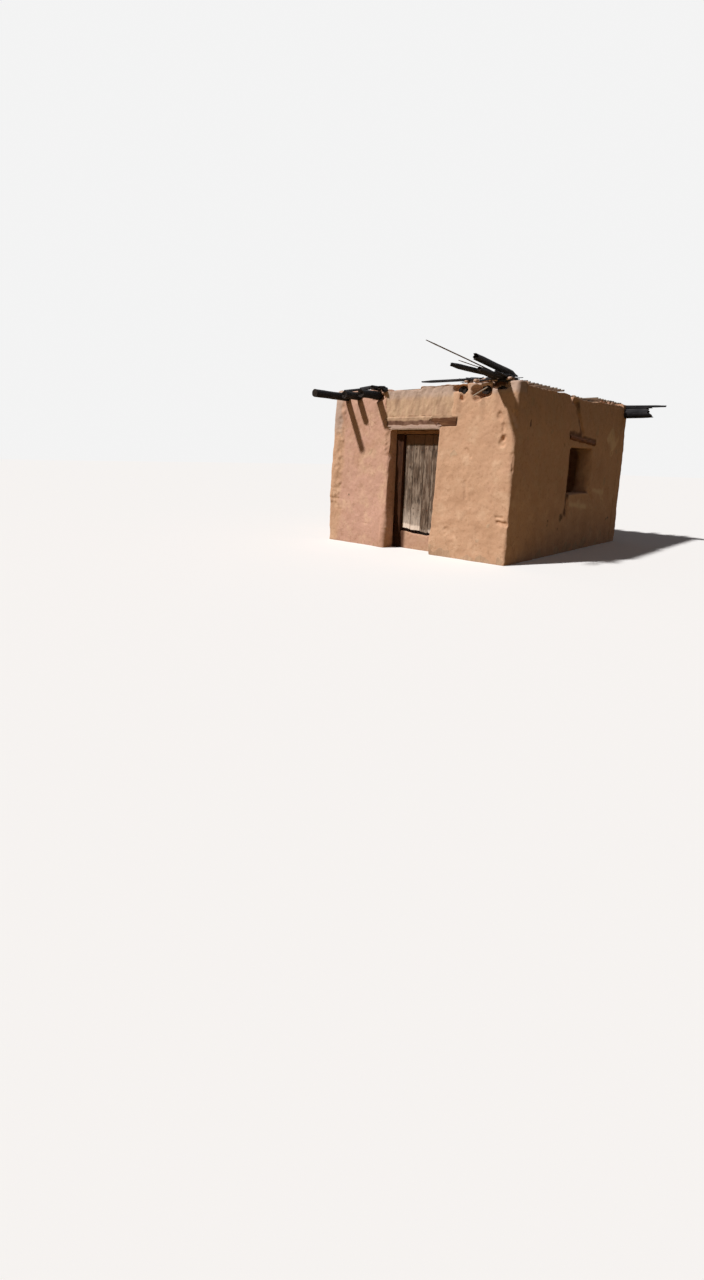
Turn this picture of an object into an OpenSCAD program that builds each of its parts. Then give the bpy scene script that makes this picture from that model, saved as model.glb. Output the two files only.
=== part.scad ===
// One-room adobe house with a flat pole roof, its front to -Y and its base on Z = 0.
// The origin is the middle of the doorway, on the ground. Sizes are in millimetres.
// Inside the modules, X and Y are measured from the middle of the footprint.

/* [House] */
// Width of the front at the ground
house_w = 3680; // [3400:20:4200]
// Depth from front to back at the ground
house_d = 4520; // [4200:20:5000]
// Height of the side walls, where the roof poles lie
wall_h = 2515; // [2400:5:2800]
// Height of the low kerb on the front and back walls above the side walls
kerb = 45; // [42:1:90]
// Thickness of the walls at the ground
wall_t = 350; // [320:5:420]
// Inward lean of every outer face over the wall height
batter = 104; // [40:2:120]
// Depth lost where the coat of mud has fallen off over the door
bare_depth = 14; // [4:1:30]

/* [Doorway] */
// Middle of the doorway, to the right of the middle of the front
door_x = -12; // [-100:2:100]
// Width of the doorway
door_w = 925; // [800:5:1000]
// Height of the doorway
door_h = 1910; // [1750:5:2000]
// Height of the mud sill between the door posts
sill_h = 245; // [150:5:300]
// Thickness of the board under the lintel
head_board_t = 40; // [25:1:60]
// Height of the lintel timbers
lintel_h = 130; // [90:1:160]
// Bearing of the lintel on the left of the doorway
bearing_left = 100; // [60:5:160]
// Bearing of the lintel on the right of the doorway
bearing_right = 315; // [150:5:340]
// Depth of the mud sill
sill_d = 90; // [60:5:160]
// Width of the left door post, which carries the hinges
post_left_w = 150; // [80:1:180]
// Width of the right door post
post_right_w = 100; // [60:1:130]
// Depth of a door post
post_d = 110; // [80:1:120]

/* [Door] */
// Thickness of the door planks
plank_t = 30; // [22:1:40]
// Thickness of the ledges that tie the planks on the inside
ledge_t = 30; // [20:1:40]
// Height of a ledge
ledge_h = 95; // [60:1:120]
// Gap between the door and the frame
door_gap = 5; // [5:0.5:8]
// Radius of the hinge pins
pin_r = 7; // [5:0.5:9]
// Length of a hinge strap
strap_l = 430; // [250:5:560]

/* [Window] */
// Middle of the window, behind the middle of the right wall
win_y = 160; // [-200:10:400]
// Width of the window
win_w = 880; // [600:10:1000]
// Height of the window sill above the ground
win_sill = 980; // [800:10:1100]
// Height of the window head above the ground
win_head = 1700; // [1500:10:1800]
// Radius of the crooked log over the window
win_log_r = 50; // [40:1:60]
// Slope of the crooked log in degrees
win_log_tilt = 4.3; // [0:0.1:5]

/* [Roof] */
// Radius of the main roof poles
viga_r = 70; // [55:1:80]
// Radius of the thin cross poles
latilla_r = 20; // [12:1:20]
// Number of cross poles in each of the three bays
bay_poles = 10; // [6:1:11]
// Thickness of the earth on the poles
earth_t = 42; // [30:1:60]

/* [Loose poles] */
// Length of the long loose pole past the front
long_out = 1245; // [900:5:1300]
// Length of the thick loose pole past the front
thick_out = 888; // [600:2:950]
// Length of the thin loose stick past the front
thin_out = 1460; // [900:5:1500]
// Length of the stick that lies along the kerb
flat_l = 1040; // [600:10:1200]
// Length of the thin rear pole past the right wall
rear_thin_out = 695; // [400:5:720]
// Length of the thick rear pole
rear_thick_l = 760; // [620:5:800]

/* [Hidden] */
$fn = 48;
// Clearance left between pieces that rest on or run through each other
gap = 0.3;
over = 50;
hw = house_w / 2;
hd = house_d / 2;
lean = batter / wall_h;
in_x = hw - wall_t;
in_y = hd - wall_t;
front_h = wall_h + kerb;

// Distance of the battered faces from the middle at a height
function face_x(z) = hw - lean * z;
function face_y(z) = hd - lean * z;

// Doorway
door_l = door_x - door_w / 2;
door_r = door_x + door_w / 2;
lintel_z = door_h + head_board_t;
lintel_top = lintel_z + lintel_h;
lintel_l = door_l - bearing_left;
lintel_r = door_r + bearing_right;
lintel_front = -face_y(lintel_z) + 8;
lintel_mid = (lintel_front - in_y) / 2;
head_board_in = 25;

head_t = 60;

// Door leaf, shut, with its hinge axis in front of the left post
hinge_x = door_l + post_left_w - 30;
ring_r = pin_r + 7;
hinge_y = -in_y + ring_r + 8;
strap_t = 6;
ring_h = 36;
strap_back = hinge_y - ring_r + 0.5;
ledge_back = strap_back - gap;
plank_back = ledge_back - ledge_t;
plank_front = plank_back - plank_t;
leaf_l = door_l + post_left_w + door_gap;
leaf_r = door_r - post_right_w - 2 * door_gap;
leaf_w = leaf_r - leaf_l;
leaf_top = door_h - head_t - door_gap;
hinge_z = [sill_h + 420, leaf_top - 230];
plank_edges = [0, 0.257, 0.575, 0.817, 1];
plank_feet = [[84, 68], [60, 60], [46, 36], [34, 52]];

// Main poles: place across the house, length past the front face, length past the back face
viga_span = hw - 340;
viga_z = wall_h - viga_r;
viga_place = [-1, -0.82, -0.54, -0.267, 0, 0.267, 0.52, 0.775, 0.94];
viga_front = [770, 370, 440, -60, -75, -60, -48, -62, -44];
viga_back = [260, 180, 300, 140, 220, 160, 280, 200, 240];
function viga_x(i) = viga_place[i] * viga_span;
function viga_from(i) = -face_y(viga_z) - viga_front[i];
function viga_to(i) = face_y(viga_z) + viga_back[i];

// Window
win_f = win_y - win_w / 2;
win_b = win_y + win_w / 2;
win_beam_h = 100;
win_beam_d = 180;
win_bearing = 120;
win_log_z = win_head + 132;
win_log_x = face_x(win_log_z) - 32;
win_log_l = win_w + 200;

// Roof layers
latilla_z = wall_h + latilla_r + gap;
latilla_end = face_x(wall_h) - 25;
bay = (2 * in_y - 60) / 3;
earth_z = latilla_z + latilla_r + gap;
crown_t = 26;

// A box given by its two opposite corners
module span(a, b) {
    translate(a)
        cube([b[0] - a[0], b[1] - a[1], b[2] - a[2]]);
}

// Solid with the outline of the house, all four faces leaning inward
module battered_block(h) {
    intersection() {
        rotate([90, 0, 0])
            linear_extrude(height = 2 * house_d, center = true)
                polygon([[-hw, 0], [hw, 0], [face_x(h), h], [-face_x(h), h]]);
        rotate([90, 0, 90])
            linear_extrude(height = 2 * house_w, center = true)
                polygon([[-hd, 0], [hd, 0], [face_y(h), h], [-face_y(h), h]]);
    }
}

// Round hole for every main pole
module viga_holes() {
    for (i = [0 : len(viga_place) - 1]) {
        translate([viga_x(i), viga_from(i) - gap, viga_z])
            rotate([-90, 0, 0])
                cylinder(r = viga_r + gap, h = viga_to(i) - viga_from(i) + 2 * gap);
    }
}

// Hollows of the doorway and of the timbers over it
module doorway_cut() {
    span([door_l, -hd - over, -over], [door_r, -in_y + over, door_h]);
    span([door_l - head_board_in, -hd - over, door_h],
         [door_r + head_board_in, -in_y + over, lintel_z]);
    span([lintel_l, -hd - over, lintel_z], [lintel_r, -in_y + over, front_h + over]);
}

module front_part() {
    difference() {
        intersection() {
            battered_block(front_h);
            children();
        }
        doorway_cut();
        viga_holes();
        stub_pole_shape(gap);
    }
}

module front_wall_left() {
    color("burlywood")
        front_part()
            span([-hw, -hd, 0], [door_x, -in_y, front_h]);
}

module front_wall_right() {
    color("burlywood")
        front_part()
            span([door_x, -hd, 0], [hw, -in_y, front_h]);
}

// Bare adobe over the lintel, set back where the mud coat is gone
module front_wall_over_door() {
    color("tan")
        difference() {
            intersection() {
                translate([0, bare_depth, 0])
                    battered_block(front_h);
                span([lintel_l, -hd, lintel_top], [lintel_r, -in_y, front_h]);
            }
            viga_holes();
        }
}

module back_wall() {
    color("burlywood")
        difference() {
            intersection() {
                battered_block(front_h);
                span([-hw, in_y, 0], [hw, hd, front_h]);
            }
            viga_holes();
            rear_pole_thick_shape(gap);
            rear_pole_thin_shape(gap);
        }
}

// The left wall has a ledge along its inner edge for the first main pole
module left_wall() {
    color("burlywood")
        difference() {
            intersection() {
                battered_block(wall_h);
                span([-hw, -in_y, 0], [-in_x, in_y, wall_h]);
            }
            span([-viga_span - viga_r - 5, -hd, viga_z - viga_r - gap],
                 [0, hd, wall_h + over]);
        }
}

// Right wall with its window and the worn dip in its top
module right_part() {
    difference() {
        intersection() {
            battered_block(wall_h);
            span([in_x, -in_y, 0], [hw, in_y, wall_h]);
            children();
        }
        window_log_shape(gap);
        span([in_x - over, win_f - win_bearing, win_head],
             [in_x + win_beam_d, win_b + win_bearing, win_head + win_beam_h]);
        worn_dip();
    }
}

// Worn dip in the top of the right wall, deepest where rain ran down to the window
module worn_dip() {
    translate([0, win_y, wall_h])
        rotate([90, 0, 90])
            linear_extrude(height = house_w)
                polygon([
                    [-640, over], [-610, -8], [-565, -72], [-500, -66], [-440, -22],
                    [-120, -34], [260, -40], [560, -18], [780, 4], [800, over]
                ]);
}

module right_wall_front() {
    color("burlywood")
        right_part()
            span([0, -hd, 0], [hw, win_f, wall_h]);
}

module right_wall_rear() {
    color("burlywood")
        right_part()
            span([0, win_b, 0], [hw, hd, wall_h]);
}

module right_wall_under_window() {
    color("burlywood")
        right_part()
            span([0, win_f, 0], [hw, win_b, win_sill]);
}

module right_wall_over_window() {
    color("burlywood")
        right_part()
            span([0, win_f, win_head], [hw, win_b, wall_h]);
}

// Mud sill between the door posts
module door_sill() {
    color("tan")
        span([door_l + post_left_w, -in_y - sill_d, 0], [door_r - post_right_w, -in_y, sill_h]);
}

module head_board() {
    color("wheat")
        span([door_l - head_board_in, lintel_front, door_h],
             [door_r + head_board_in, -in_y, lintel_z]);
}

module lintel_outer() {
    color("sienna")
        span([lintel_l, lintel_front, lintel_z],
             [lintel_r, lintel_mid - gap, lintel_top]);
}

module lintel_inner() {
    color("sienna")
        span([lintel_l, lintel_mid, lintel_z], [lintel_r, -in_y, lintel_top]);
}

// Spike of a hinge pin in the left post
module hinge_spike(z, spare) {
    translate([hinge_x, -in_y - 50 - spare, z - ring_h / 2 - pin_r])
        rotate([-90, 0, 0])
            cylinder(r = pin_r - 1.5 + spare, h = hinge_y + in_y + 50 + spare);
}

module door_post_left() {
    color("peru")
        difference() {
            span([door_l, -in_y - post_d, 0], [door_l + post_left_w, -in_y, door_h - head_t]);
            for (z = hinge_z) {
                hinge_spike(z, gap);
            }
        }
}

module door_post_right() {
    color("peru")
        span([door_r - post_right_w, -in_y - post_d, 0], [door_r, -in_y, door_h - head_t]);
}

module door_head() {
    color("peru")
        span([door_l, -in_y - post_d, door_h - head_t], [door_r, -in_y, door_h]);
}

// Iron hook: a spike into the post and an upright pin for the strap
module hinge_pin(z) {
    color("dimgray")
        union() {
            hinge_spike(z, 0);
            translate([hinge_x, hinge_y, z - ring_h / 2 - 2 * pin_r])
                cylinder(r = pin_r, h = ring_h + 3 * pin_r);
        }
}

// Ring around the pin and strap along the ledge
module hinge_strap(z) {
    color("dimgray")
        difference() {
            union() {
                translate([hinge_x, hinge_y, z - ring_h / 2 + 1])
                    cylinder(r = ring_r, h = ring_h - 2);
                span([hinge_x, strap_back, z - ring_h / 2 + 3],
                     [hinge_x + strap_l, strap_back + strap_t, z + ring_h / 2 - 3]);
            }
            translate([hinge_x, hinge_y, z - ring_h])
                cylinder(r = pin_r + 0.05, h = 2 * ring_h);
        }
}

// One upright plank with a rotted, sloping foot
module door_plank(i) {
    x0 = leaf_l + leaf_w * plank_edges[i] + (i == 0 ? 0 : 2);
    x1 = leaf_l + leaf_w * plank_edges[i + 1] - (i == 3 ? 0 : 2);
    color("slategray")
        translate([0, plank_back, 0])
            rotate([90, 0, 0])
                linear_extrude(height = plank_t)
                    polygon([
                        [x0, sill_h + plank_feet[i][0]], [x1, sill_h + plank_feet[i][1]],
                        [x1, leaf_top], [x0, leaf_top]
                    ]);
}

module door_ledges() {
    color("slategray")
        for (z = hinge_z) {
            span([leaf_l + 6, plank_back, z - ledge_h / 2],
                 [leaf_r - 12, ledge_back, z + ledge_h / 2]);
        }
}

// Crooked log in the outer face over the window
module window_log_shape(spare) {
    translate([win_log_x, win_y + 20, win_log_z])
        rotate([-90 - win_log_tilt, 0, 0])
            cylinder(r = win_log_r + spare, h = win_log_l + 2 * spare, center = true);
}

module window_log() {
    color("saddlebrown")
        window_log_shape(0);
}

// Squared beam over the inner side of the window
module window_beam() {
    color("saddlebrown")
        span([in_x, win_f - win_bearing, win_head],
             [in_x + win_beam_d, win_b + win_bearing, win_head + win_beam_h]);
}

module viga(i) {
    color("dimgray")
        translate([viga_x(i), viga_from(i), viga_z])
            rotate([-90, 0, 0])
                cylinder(r = viga_r, h = viga_to(i) - viga_from(i));
}

// One bay of cross poles, ending short where the wall top is worn
module latillas(first, reach) {
    step = bay / bay_poles;
    color("rosybrown")
        for (i = [0 : bay_poles - 1]) {
            translate([-latilla_end, -in_y + 30 + first * bay + (i + 0.5) * step, latilla_z])
                rotate([0, 90, 0])
                    cylinder(r = latilla_r, h = latilla_end + reach);
        }
}

// Earth on the poles with a worn, wandering edge
module earth_roof() {
    sx = hw / 1840;
    sy = hd / 2260;
    color("khaki")
        translate([0, 0, earth_z])
            linear_extrude(height = earth_t)
                polygon([
                    [-1380 * sx, -1640 * sy], [-900 * sx, -1690 * sy], [-420 * sx, -1620 * sy],
                    [60 * sx, -1680 * sy], [520 * sx, -1610 * sy], [860 * sx, -1560 * sy],
                    [1020 * sx, -1330 * sy], [1250 * sx, -1120 * sy], [1340 * sx, -760 * sy],
                    [1220 * sx, -380 * sy], [1240 * sx, 120 * sy], [1390 * sx, 560 * sy],
                    [1420 * sx, 1180 * sy], [1360 * sx, 1620 * sy], [720 * sx, 1700 * sy],
                    [-60 * sx, 1650 * sy], [-760 * sx, 1710 * sy], [-1390 * sx, 1640 * sy],
                    [-1450 * sx, 900 * sy], [-1400 * sx, 100 * sy], [-1460 * sx, -820 * sy]
                ]);
}

module earth_crown() {
    sx = hw / 1840;
    sy = hd / 2260;
    color("khaki")
        translate([0, 0, earth_z + earth_t])
            linear_extrude(height = crown_t)
                polygon([
                    [-1150 * sx, -1240 * sy], [-300 * sx, -1330 * sy], [480 * sx, -1200 * sy],
                    [900 * sx, -700 * sy], [830 * sx, 60 * sy], [1040 * sx, 900 * sy],
                    [700 * sx, 1350 * sy], [-420 * sx, 1380 * sy], [-1130 * sx, 1240 * sy],
                    [-1200 * sx, 180 * sy]
                ]);
}

// A round pole from one point to another
module pole(a, b, r) {
    d = b - a;
    l = norm(d);
    translate(a)
        rotate([0, acos(d[2] / l), atan2(d[1], d[0])])
            cylinder(r = r, h = l);
}

// Height between two crossing axes that pass a given distance apart
function rise_over(a, b, apart) = apart * norm(cross(a, b)) / abs(cross(a, b)[2]);

// Loose poles at the near corner, lying on the kerb and tipping out over the front
top = front_h;
kerb_y = -face_y(front_h);
long_r = 40;
long_in = 500;
long_x = hw - 440;
long_z = top + long_r + gap;
thick_r = 50;
thick_in = 681;
thin_r = 12;
flat_r = 24;
stub_r = 40;
stub_out = 170;
stub_l = 404;
prop_r = 32;

module loose_pole_long() {
    color("darkslategray")
        pole([long_x, kerb_y + long_in, long_z], [long_x, kerb_y - long_out, long_z], long_r);
}

// The thick pole lies across the long one, just over the wall's face
thick_way = [0.122, -1, 0.04];
thick_rise = rise_over([0, -1, 0], thick_way, long_r + gap + thick_r);
thick_cross = [long_x, kerb_y, long_z + thick_rise];

module loose_pole_thick() {
    color("darkslategray")
        pole(thick_cross - thick_in * thick_way, thick_cross + thick_out * thick_way, thick_r);
}

// Short piece across two cross poles, which carries the inner end of the thick pole
prop_way = [0.767, 0.642, 0];
prop_ends = [112, 175];
prop_z = latilla_z + latilla_r + prop_r + gap;
prop_rise = rise_over(prop_way, thick_way, prop_r + gap + thick_r);
prop_back = (thick_cross[2] - prop_rise - prop_z) / thick_way[2];

module loose_pole_prop() {
    middle = [long_x - thick_way[0] * prop_back, kerb_y + prop_back, prop_z];
    color("darkslategray")
        pole(middle - prop_ends[0] * prop_way, middle + prop_ends[1] * prop_way, prop_r);
}

// Thin stick whose butt lies on the flank of the long pole
thin_side = 28;
thin_start = 170;

module loose_stick_thin() {
    lift = sqrt(pow(long_r + thin_r + 2 * gap, 2) - thin_side * thin_side);
    thin_way = [-0.149, -1, 0.169];
    butt = [long_x - thin_side, kerb_y - thin_start, long_z + lift];
    color("gray")
        pole(butt, butt + (thin_out - thin_start) * thin_way, thin_r);
}

module loose_stick_flat() {
    color("darkslategray")
        pole([hw - 780, kerb_y + 30, top + flat_r + gap],
             [hw - 780 - flat_l, kerb_y + 44, top + flat_r + 22], flat_r);
}

// Short stub that lies in the kerb on the third main pole
module stub_pole_shape(spare) {
    translate([viga_x(2), kerb_y - stub_out - spare, viga_z + viga_r + stub_r + gap])
        rotate([-90, 0, 0])
            cylinder(r = stub_r + spare, h = stub_l + 2 * spare);
}

module stub_pole_left() {
    color("darkslategray")
        stub_pole_shape(0);
}

// Poles at the rear corner, running out through the back wall's kerb past the right wall
rear_y = hd - 220;
rear_thick_r = 86;
rear_thick_z = viga_z - 68;
rear_thick_start = hw - 320;
rear_thin_r = 26;
rear_thin_start = viga_x(8) + viga_r + 20;
rear_droop = 0.03;

module rear_pole_thick_shape(spare) {
    translate([rear_thick_start - spare, rear_y, rear_thick_z])
        rotate([0, 90, 0])
            cylinder(r = rear_thick_r + spare, h = rear_thick_l + 2 * spare);
}

module rear_pole_thick() {
    color("darkslategray")
        rear_pole_thick_shape(0);
}

// The thin pole touches the thick one at its outer end and droops outward
module rear_pole_thin_shape(spare) {
    edge = face_x(front_h);
    touch_x = rear_thick_start + rear_thick_l;
    touch_z = rear_thick_z + rear_thick_r + gap + rear_thin_r * norm([1, rear_droop]);
    way = [1, 0, -rear_droop];
    touch = [touch_x, rear_y, touch_z];
    pole(touch + (rear_thin_start - touch_x - spare) * way,
         touch + (edge + rear_thin_out - touch_x) * way, rear_thin_r + spare);
}

module rear_pole_thin() {
    color("darkslategray")
        rear_pole_thin_shape(0);
}

// Moves the origin to the ground in the middle of the doorway, half way through the sill
module placed() {
    translate([-door_x, in_y + sill_d / 2, 0])
        children();
}

placed() front_wall_left();
placed() front_wall_right();
placed() front_wall_over_door();
placed() back_wall();
placed() left_wall();
placed() right_wall_front();
placed() right_wall_rear();
placed() right_wall_under_window();
placed() right_wall_over_window();
placed() door_sill();
placed() head_board();
placed() lintel_outer();
placed() lintel_inner();
placed() door_post_left();
placed() door_post_right();
placed() door_head();
placed() hinge_pin(hinge_z[0]);  // hinge_pin_lower
placed() hinge_pin(hinge_z[1]);  // hinge_pin_upper
placed() door_plank(0);  // door_plank_1
placed() door_plank(1);  // door_plank_2
placed() door_plank(2);  // door_plank_3
placed() door_plank(3);  // door_plank_4
placed() door_ledges();
placed() hinge_strap(hinge_z[0]);  // hinge_strap_lower
placed() hinge_strap(hinge_z[1]);  // hinge_strap_upper
placed() window_log();
placed() window_beam();
placed() viga(0);  // viga_1
placed() viga(1);  // viga_2
placed() viga(2);  // viga_3
placed() viga(3);  // viga_4
placed() viga(4);  // viga_5
placed() viga(5);  // viga_6
placed() viga(6);  // viga_7
placed() viga(7);  // viga_8
placed() viga(8);  // viga_9
placed() latillas(0, latilla_end);  // latillas_front
placed() latillas(1, viga_x(8) + viga_r);  // latillas_middle
placed() latillas(2, latilla_end);  // latillas_rear
placed() earth_roof();
placed() earth_crown();
placed() loose_pole_long();
placed() loose_pole_thick();
placed() loose_pole_prop();
placed() loose_stick_thin();
placed() loose_stick_flat();
placed() stub_pole_left();
placed() rear_pole_thick();
placed() rear_pole_thin();
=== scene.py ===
"""Looks of a one-room adobe house: its mud coats, roof poles, planks and earth.

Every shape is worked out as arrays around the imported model's own boxes. Lengths are in metres.
Inside the script, x and y are measured from the middle of the footprint, as in the part's source.
"""
import math

import bpy
import numpy as np
from mathutils import Matrix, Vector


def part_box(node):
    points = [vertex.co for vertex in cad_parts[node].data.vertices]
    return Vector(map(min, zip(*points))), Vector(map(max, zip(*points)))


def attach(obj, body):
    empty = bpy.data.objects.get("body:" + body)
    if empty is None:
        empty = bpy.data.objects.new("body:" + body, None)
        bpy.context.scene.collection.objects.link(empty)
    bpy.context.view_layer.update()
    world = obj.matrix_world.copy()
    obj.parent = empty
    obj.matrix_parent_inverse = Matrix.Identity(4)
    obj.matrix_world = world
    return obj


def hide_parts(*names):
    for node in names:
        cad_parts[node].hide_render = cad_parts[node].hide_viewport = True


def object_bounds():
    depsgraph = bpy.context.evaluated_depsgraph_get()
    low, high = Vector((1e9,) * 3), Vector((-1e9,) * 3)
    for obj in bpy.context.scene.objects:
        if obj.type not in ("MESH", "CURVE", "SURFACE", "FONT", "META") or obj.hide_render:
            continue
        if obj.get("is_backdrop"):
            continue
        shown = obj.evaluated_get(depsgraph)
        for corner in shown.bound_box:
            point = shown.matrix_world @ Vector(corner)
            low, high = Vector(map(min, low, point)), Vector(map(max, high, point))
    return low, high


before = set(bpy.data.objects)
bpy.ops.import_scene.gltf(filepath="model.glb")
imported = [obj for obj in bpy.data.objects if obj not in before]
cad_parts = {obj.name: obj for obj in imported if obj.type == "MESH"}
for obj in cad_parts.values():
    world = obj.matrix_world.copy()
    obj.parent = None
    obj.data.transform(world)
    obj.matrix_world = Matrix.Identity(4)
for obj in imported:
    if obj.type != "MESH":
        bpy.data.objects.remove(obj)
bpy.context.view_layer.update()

# Sizes read from the frame
west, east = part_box("left_wall")[0].x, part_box("right_wall_front")[1].x
south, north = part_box("front_wall_left")[0].y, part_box("back_wall")[1].y
MIDDLE = np.array([(west + east) / 2, (south + north) / 2, 0.0])
HALF_X, HALF_Y = (east - west) / 2, (north - south) / 2
# The walls' outer faces lean in by this much for each metre of height
LEAN = 0.104 / 2.515
# Lengths below this count as nothing
TOUCH = 1e-6


def box(node):
    """Lowest and highest corner of a CAD node, from the middle of the footprint."""
    low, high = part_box(node)
    return np.array(low) - MIDDLE, np.array(high) - MIDDLE


IN_X, IN_Y = box("right_wall_front")[0][0], box("back_wall")[0][1]
WALL_TOP, KERB_TOP = box("left_wall")[1][2], box("front_wall_left")[1][2]
DOOR_L, DOOR_R = box("door_post_left")[0][0], box("door_post_right")[1][0]
POST_FRONT = box("door_post_left")[0][1]
SILL_Z = box("door_sill")[1][2]
LINTEL_LOW, LINTEL_HIGH = box("lintel_outer")
BOARD_LOW, BOARD_HIGH = box("head_board")
(_, WIN_F, _), (_, WIN_B, WIN_SILL) = box("right_wall_under_window")
WIN_HEAD = box("right_wall_over_window")[0][2]
VIGAS = [f"viga_{n}" for n in range(1, 10)]

# First seed of each kind of piece, so that no two pieces share their random draws
WALL_CLOD_SEED, VIGA_SEED, CRUMB_SEED, ROD_SEED, LOOSE_SEED = 90, 101, 140, 200, 300
TIMBER_SEED, PLANK_SEED, LEDGE_SEED = 401, 410, 420
TWIG_SEED, PALE_STICK_SEED, DARK_STICK_SEED = 500, 560, 570

# Noise, whose cells are turned out of the axes
TURN = np.array([[0.36, 0.48, -0.80], [-0.80, 0.60, 0.0], [0.48, 0.64, 0.60]])


def lattice_value(cell, corner, seed):
    """Repeatable number from -1 to 1 at a corner of a cell: odd multiples of the whole-number
    coordinates are mixed bit by bit."""
    i, j, k = (cell[..., n] + corner[n] for n in range(3))
    mixed = (i * 73856093) ^ (j * 19349663) ^ (k * 83492791) ^ (seed * 40503)
    mixed = ((mixed ^ (mixed >> 13)) * 1274126177) & 0x7FFFFFFF
    return ((mixed ^ (mixed >> 16)) & 0xFFFFF) / 524287.5 - 1.0


def noise(p, size, seed=0):
    """Smooth noise from -1 to 1: values at the corners of cells of that size, blended in each
    direction by 6t^5 - 15t^4 + 10t^3."""
    q = (p / size) @ TURN.T + 0.37 * seed
    cell = np.floor(q).astype(np.int64)
    t = q - cell
    t = t * t * t * (t * (t * 6 - 15) + 10)
    total = np.zeros(p.shape[:-1])
    for corner in np.ndindex(2, 2, 2):
        share = np.prod(np.where(corner, t, 1 - t), axis=-1)
        total += share * lattice_value(cell, corner, seed)
    return total


def layered(p, size, layers=3, seed=0):
    """Sum of noises, each of half the size and half the height of the one before, over the sum
    of their heights."""
    total, height, sum_of_heights = 0.0, 1.0, 0.0
    for n in range(layers):
        total = total + height * noise(p, size, seed + n)
        sum_of_heights += height
        size, height = size * 0.5, height * 0.5
    return total / sum_of_heights


def ramp(x, low, high):
    """0 below low, 1 above high, and 3t^2 - 2t^3 between; low may be the larger one."""
    t = np.clip((x - low) / (high - low), 0, 1)
    return t * t * (3 - 2 * t)


def from_line(p, a, b):
    """Distance of each point from the stretch from a to b."""
    a, b = np.array(a, float), np.array(b, float)
    d = b - a
    share = np.clip(((p - a) @ d) / max(d @ d, 1e-9), 0, 1)
    return np.linalg.norm(p - a - share[..., None] * d, axis=-1)


# Meshes
def sheet_of(ids):
    """Four-cornered faces between the neighbours of a table of point numbers."""
    return np.stack([ids[:-1, :-1], ids[1:, :-1], ids[1:, 1:], ids[:-1, 1:]], -1).reshape(-1, 4)


def fan(centre, ring, flip=False):
    """Triangles between a point and each two neighbours of a closed ring."""
    made = np.stack([np.full(len(ring) - 1, centre), ring[:-1], ring[1:]], -1)
    return made[:, ::-1] if flip else made


def closed_rings(ids):
    """A table of point numbers whose rows are rings, each with its first point again at its end."""
    return np.concatenate([ids, ids[:, :1]], 1)


def renumbered(faces):
    """The point numbers that the faces use, and the faces with these counted from 0."""
    used, flat = np.unique(np.concatenate([f.ravel() for f in faces]), return_inverse=True)
    ends = np.cumsum([f.size for f in faces])[:-1]
    return used, [part.reshape(f.shape) for part, f in zip(np.split(flat, ends), faces)]


def closed_form(shape):
    """Points in use and outward faces of a table of points whose rows are rings, the first and
    the last of them drawn together in one point each."""
    ids = closed_rings(np.arange(math.prod(shape)).reshape(shape))
    first, last = ids[0, 0], ids[-1, 0]
    return renumbered([sheet_of(ids[1:-1]), fan(first, ids[1]), fan(last, ids[-2], True)])


def five_sides(ids):
    """Faces of a box of point numbers (t, z, e), all but those of its last e."""
    return [sheet_of(ids[..., 0])[:, ::-1], sheet_of(ids[0])[:, ::-1], sheet_of(ids[-1]),
            sheet_of(ids[:, 0].T)[:, ::-1], sheet_of(ids[:, -1].T)]


def stitch(fine, rough, flip):
    """Triangles between a row of many points and a row of few: each edge of either row is joined
    to the point of the other that lies nearest by its share of the row."""
    nearest = np.round((np.arange(len(fine) - 1) + 0.5) / (len(fine) - 1) * (len(rough) - 1))
    nearest = nearest.astype(int)
    back = np.searchsorted(nearest, np.arange(1, len(rough)))
    ones = np.stack([fine[:-1], rough[nearest], fine[1:]], -1)
    others = np.stack([rough[:-1], rough[1:], fine[back]], -1)
    made = np.concatenate([ones, others])
    return made[:, ::-1] if flip else made


def box_skin(ts, zs, es, join_cells=0):
    """Skin of a box cut by the lines ts, zs and es: points (t, z, e) and outward faces. With
    join_cells, the last e side has cells that many times larger, stitched to its edges."""
    n = (len(ts), len(zs), len(es))
    ids = np.arange(math.prod(n)).reshape(n)
    faces, far = five_sides(ids), ids[..., -1]
    if join_cells:
        rows = [np.linspace(2, count - 3, max(3, (count - 5) // join_cells)) for count in n[:2]]
        inner = far[np.ix_(*(row.astype(int) for row in rows))]
        faces += [sheet_of(inner), stitch(far[0], inner[0], False), stitch(far[-1], inner[-1], True),
                  stitch(far[:, 0], inner[:, 0], True), stitch(far[:, -1], inner[:, -1], False)]
    else:
        faces.append(sheet_of(far))
    used, faces = renumbered(faces)
    t, z, e = np.unravel_index(used, n)
    return np.stack([ts[t], zs[z], es[e]], -1), faces


# Places of the closer lines at an eased end, as shares of its length, and that length at the most
EASE, EASE_LENGTH = np.array([0.0, 0.13, 0.29, 0.47, 0.71, 1.0]), 0.038


def lines(low, high, step, ease_low=True, ease_high=True):
    """Places from low to high a step apart, drawn together towards an end that is eased."""
    ease = EASE * min(EASE_LENGTH, 0.35 * (high - low))
    first = low + ease if ease_low else np.array([low])
    last = (high - ease)[::-1] if ease_high else np.array([high])
    count = max(2, int(round((last[0] - first[-1]) / step)))
    return np.concatenate([first[:-1], np.linspace(first[-1], last[0], count + 1), last[1:]])


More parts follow.
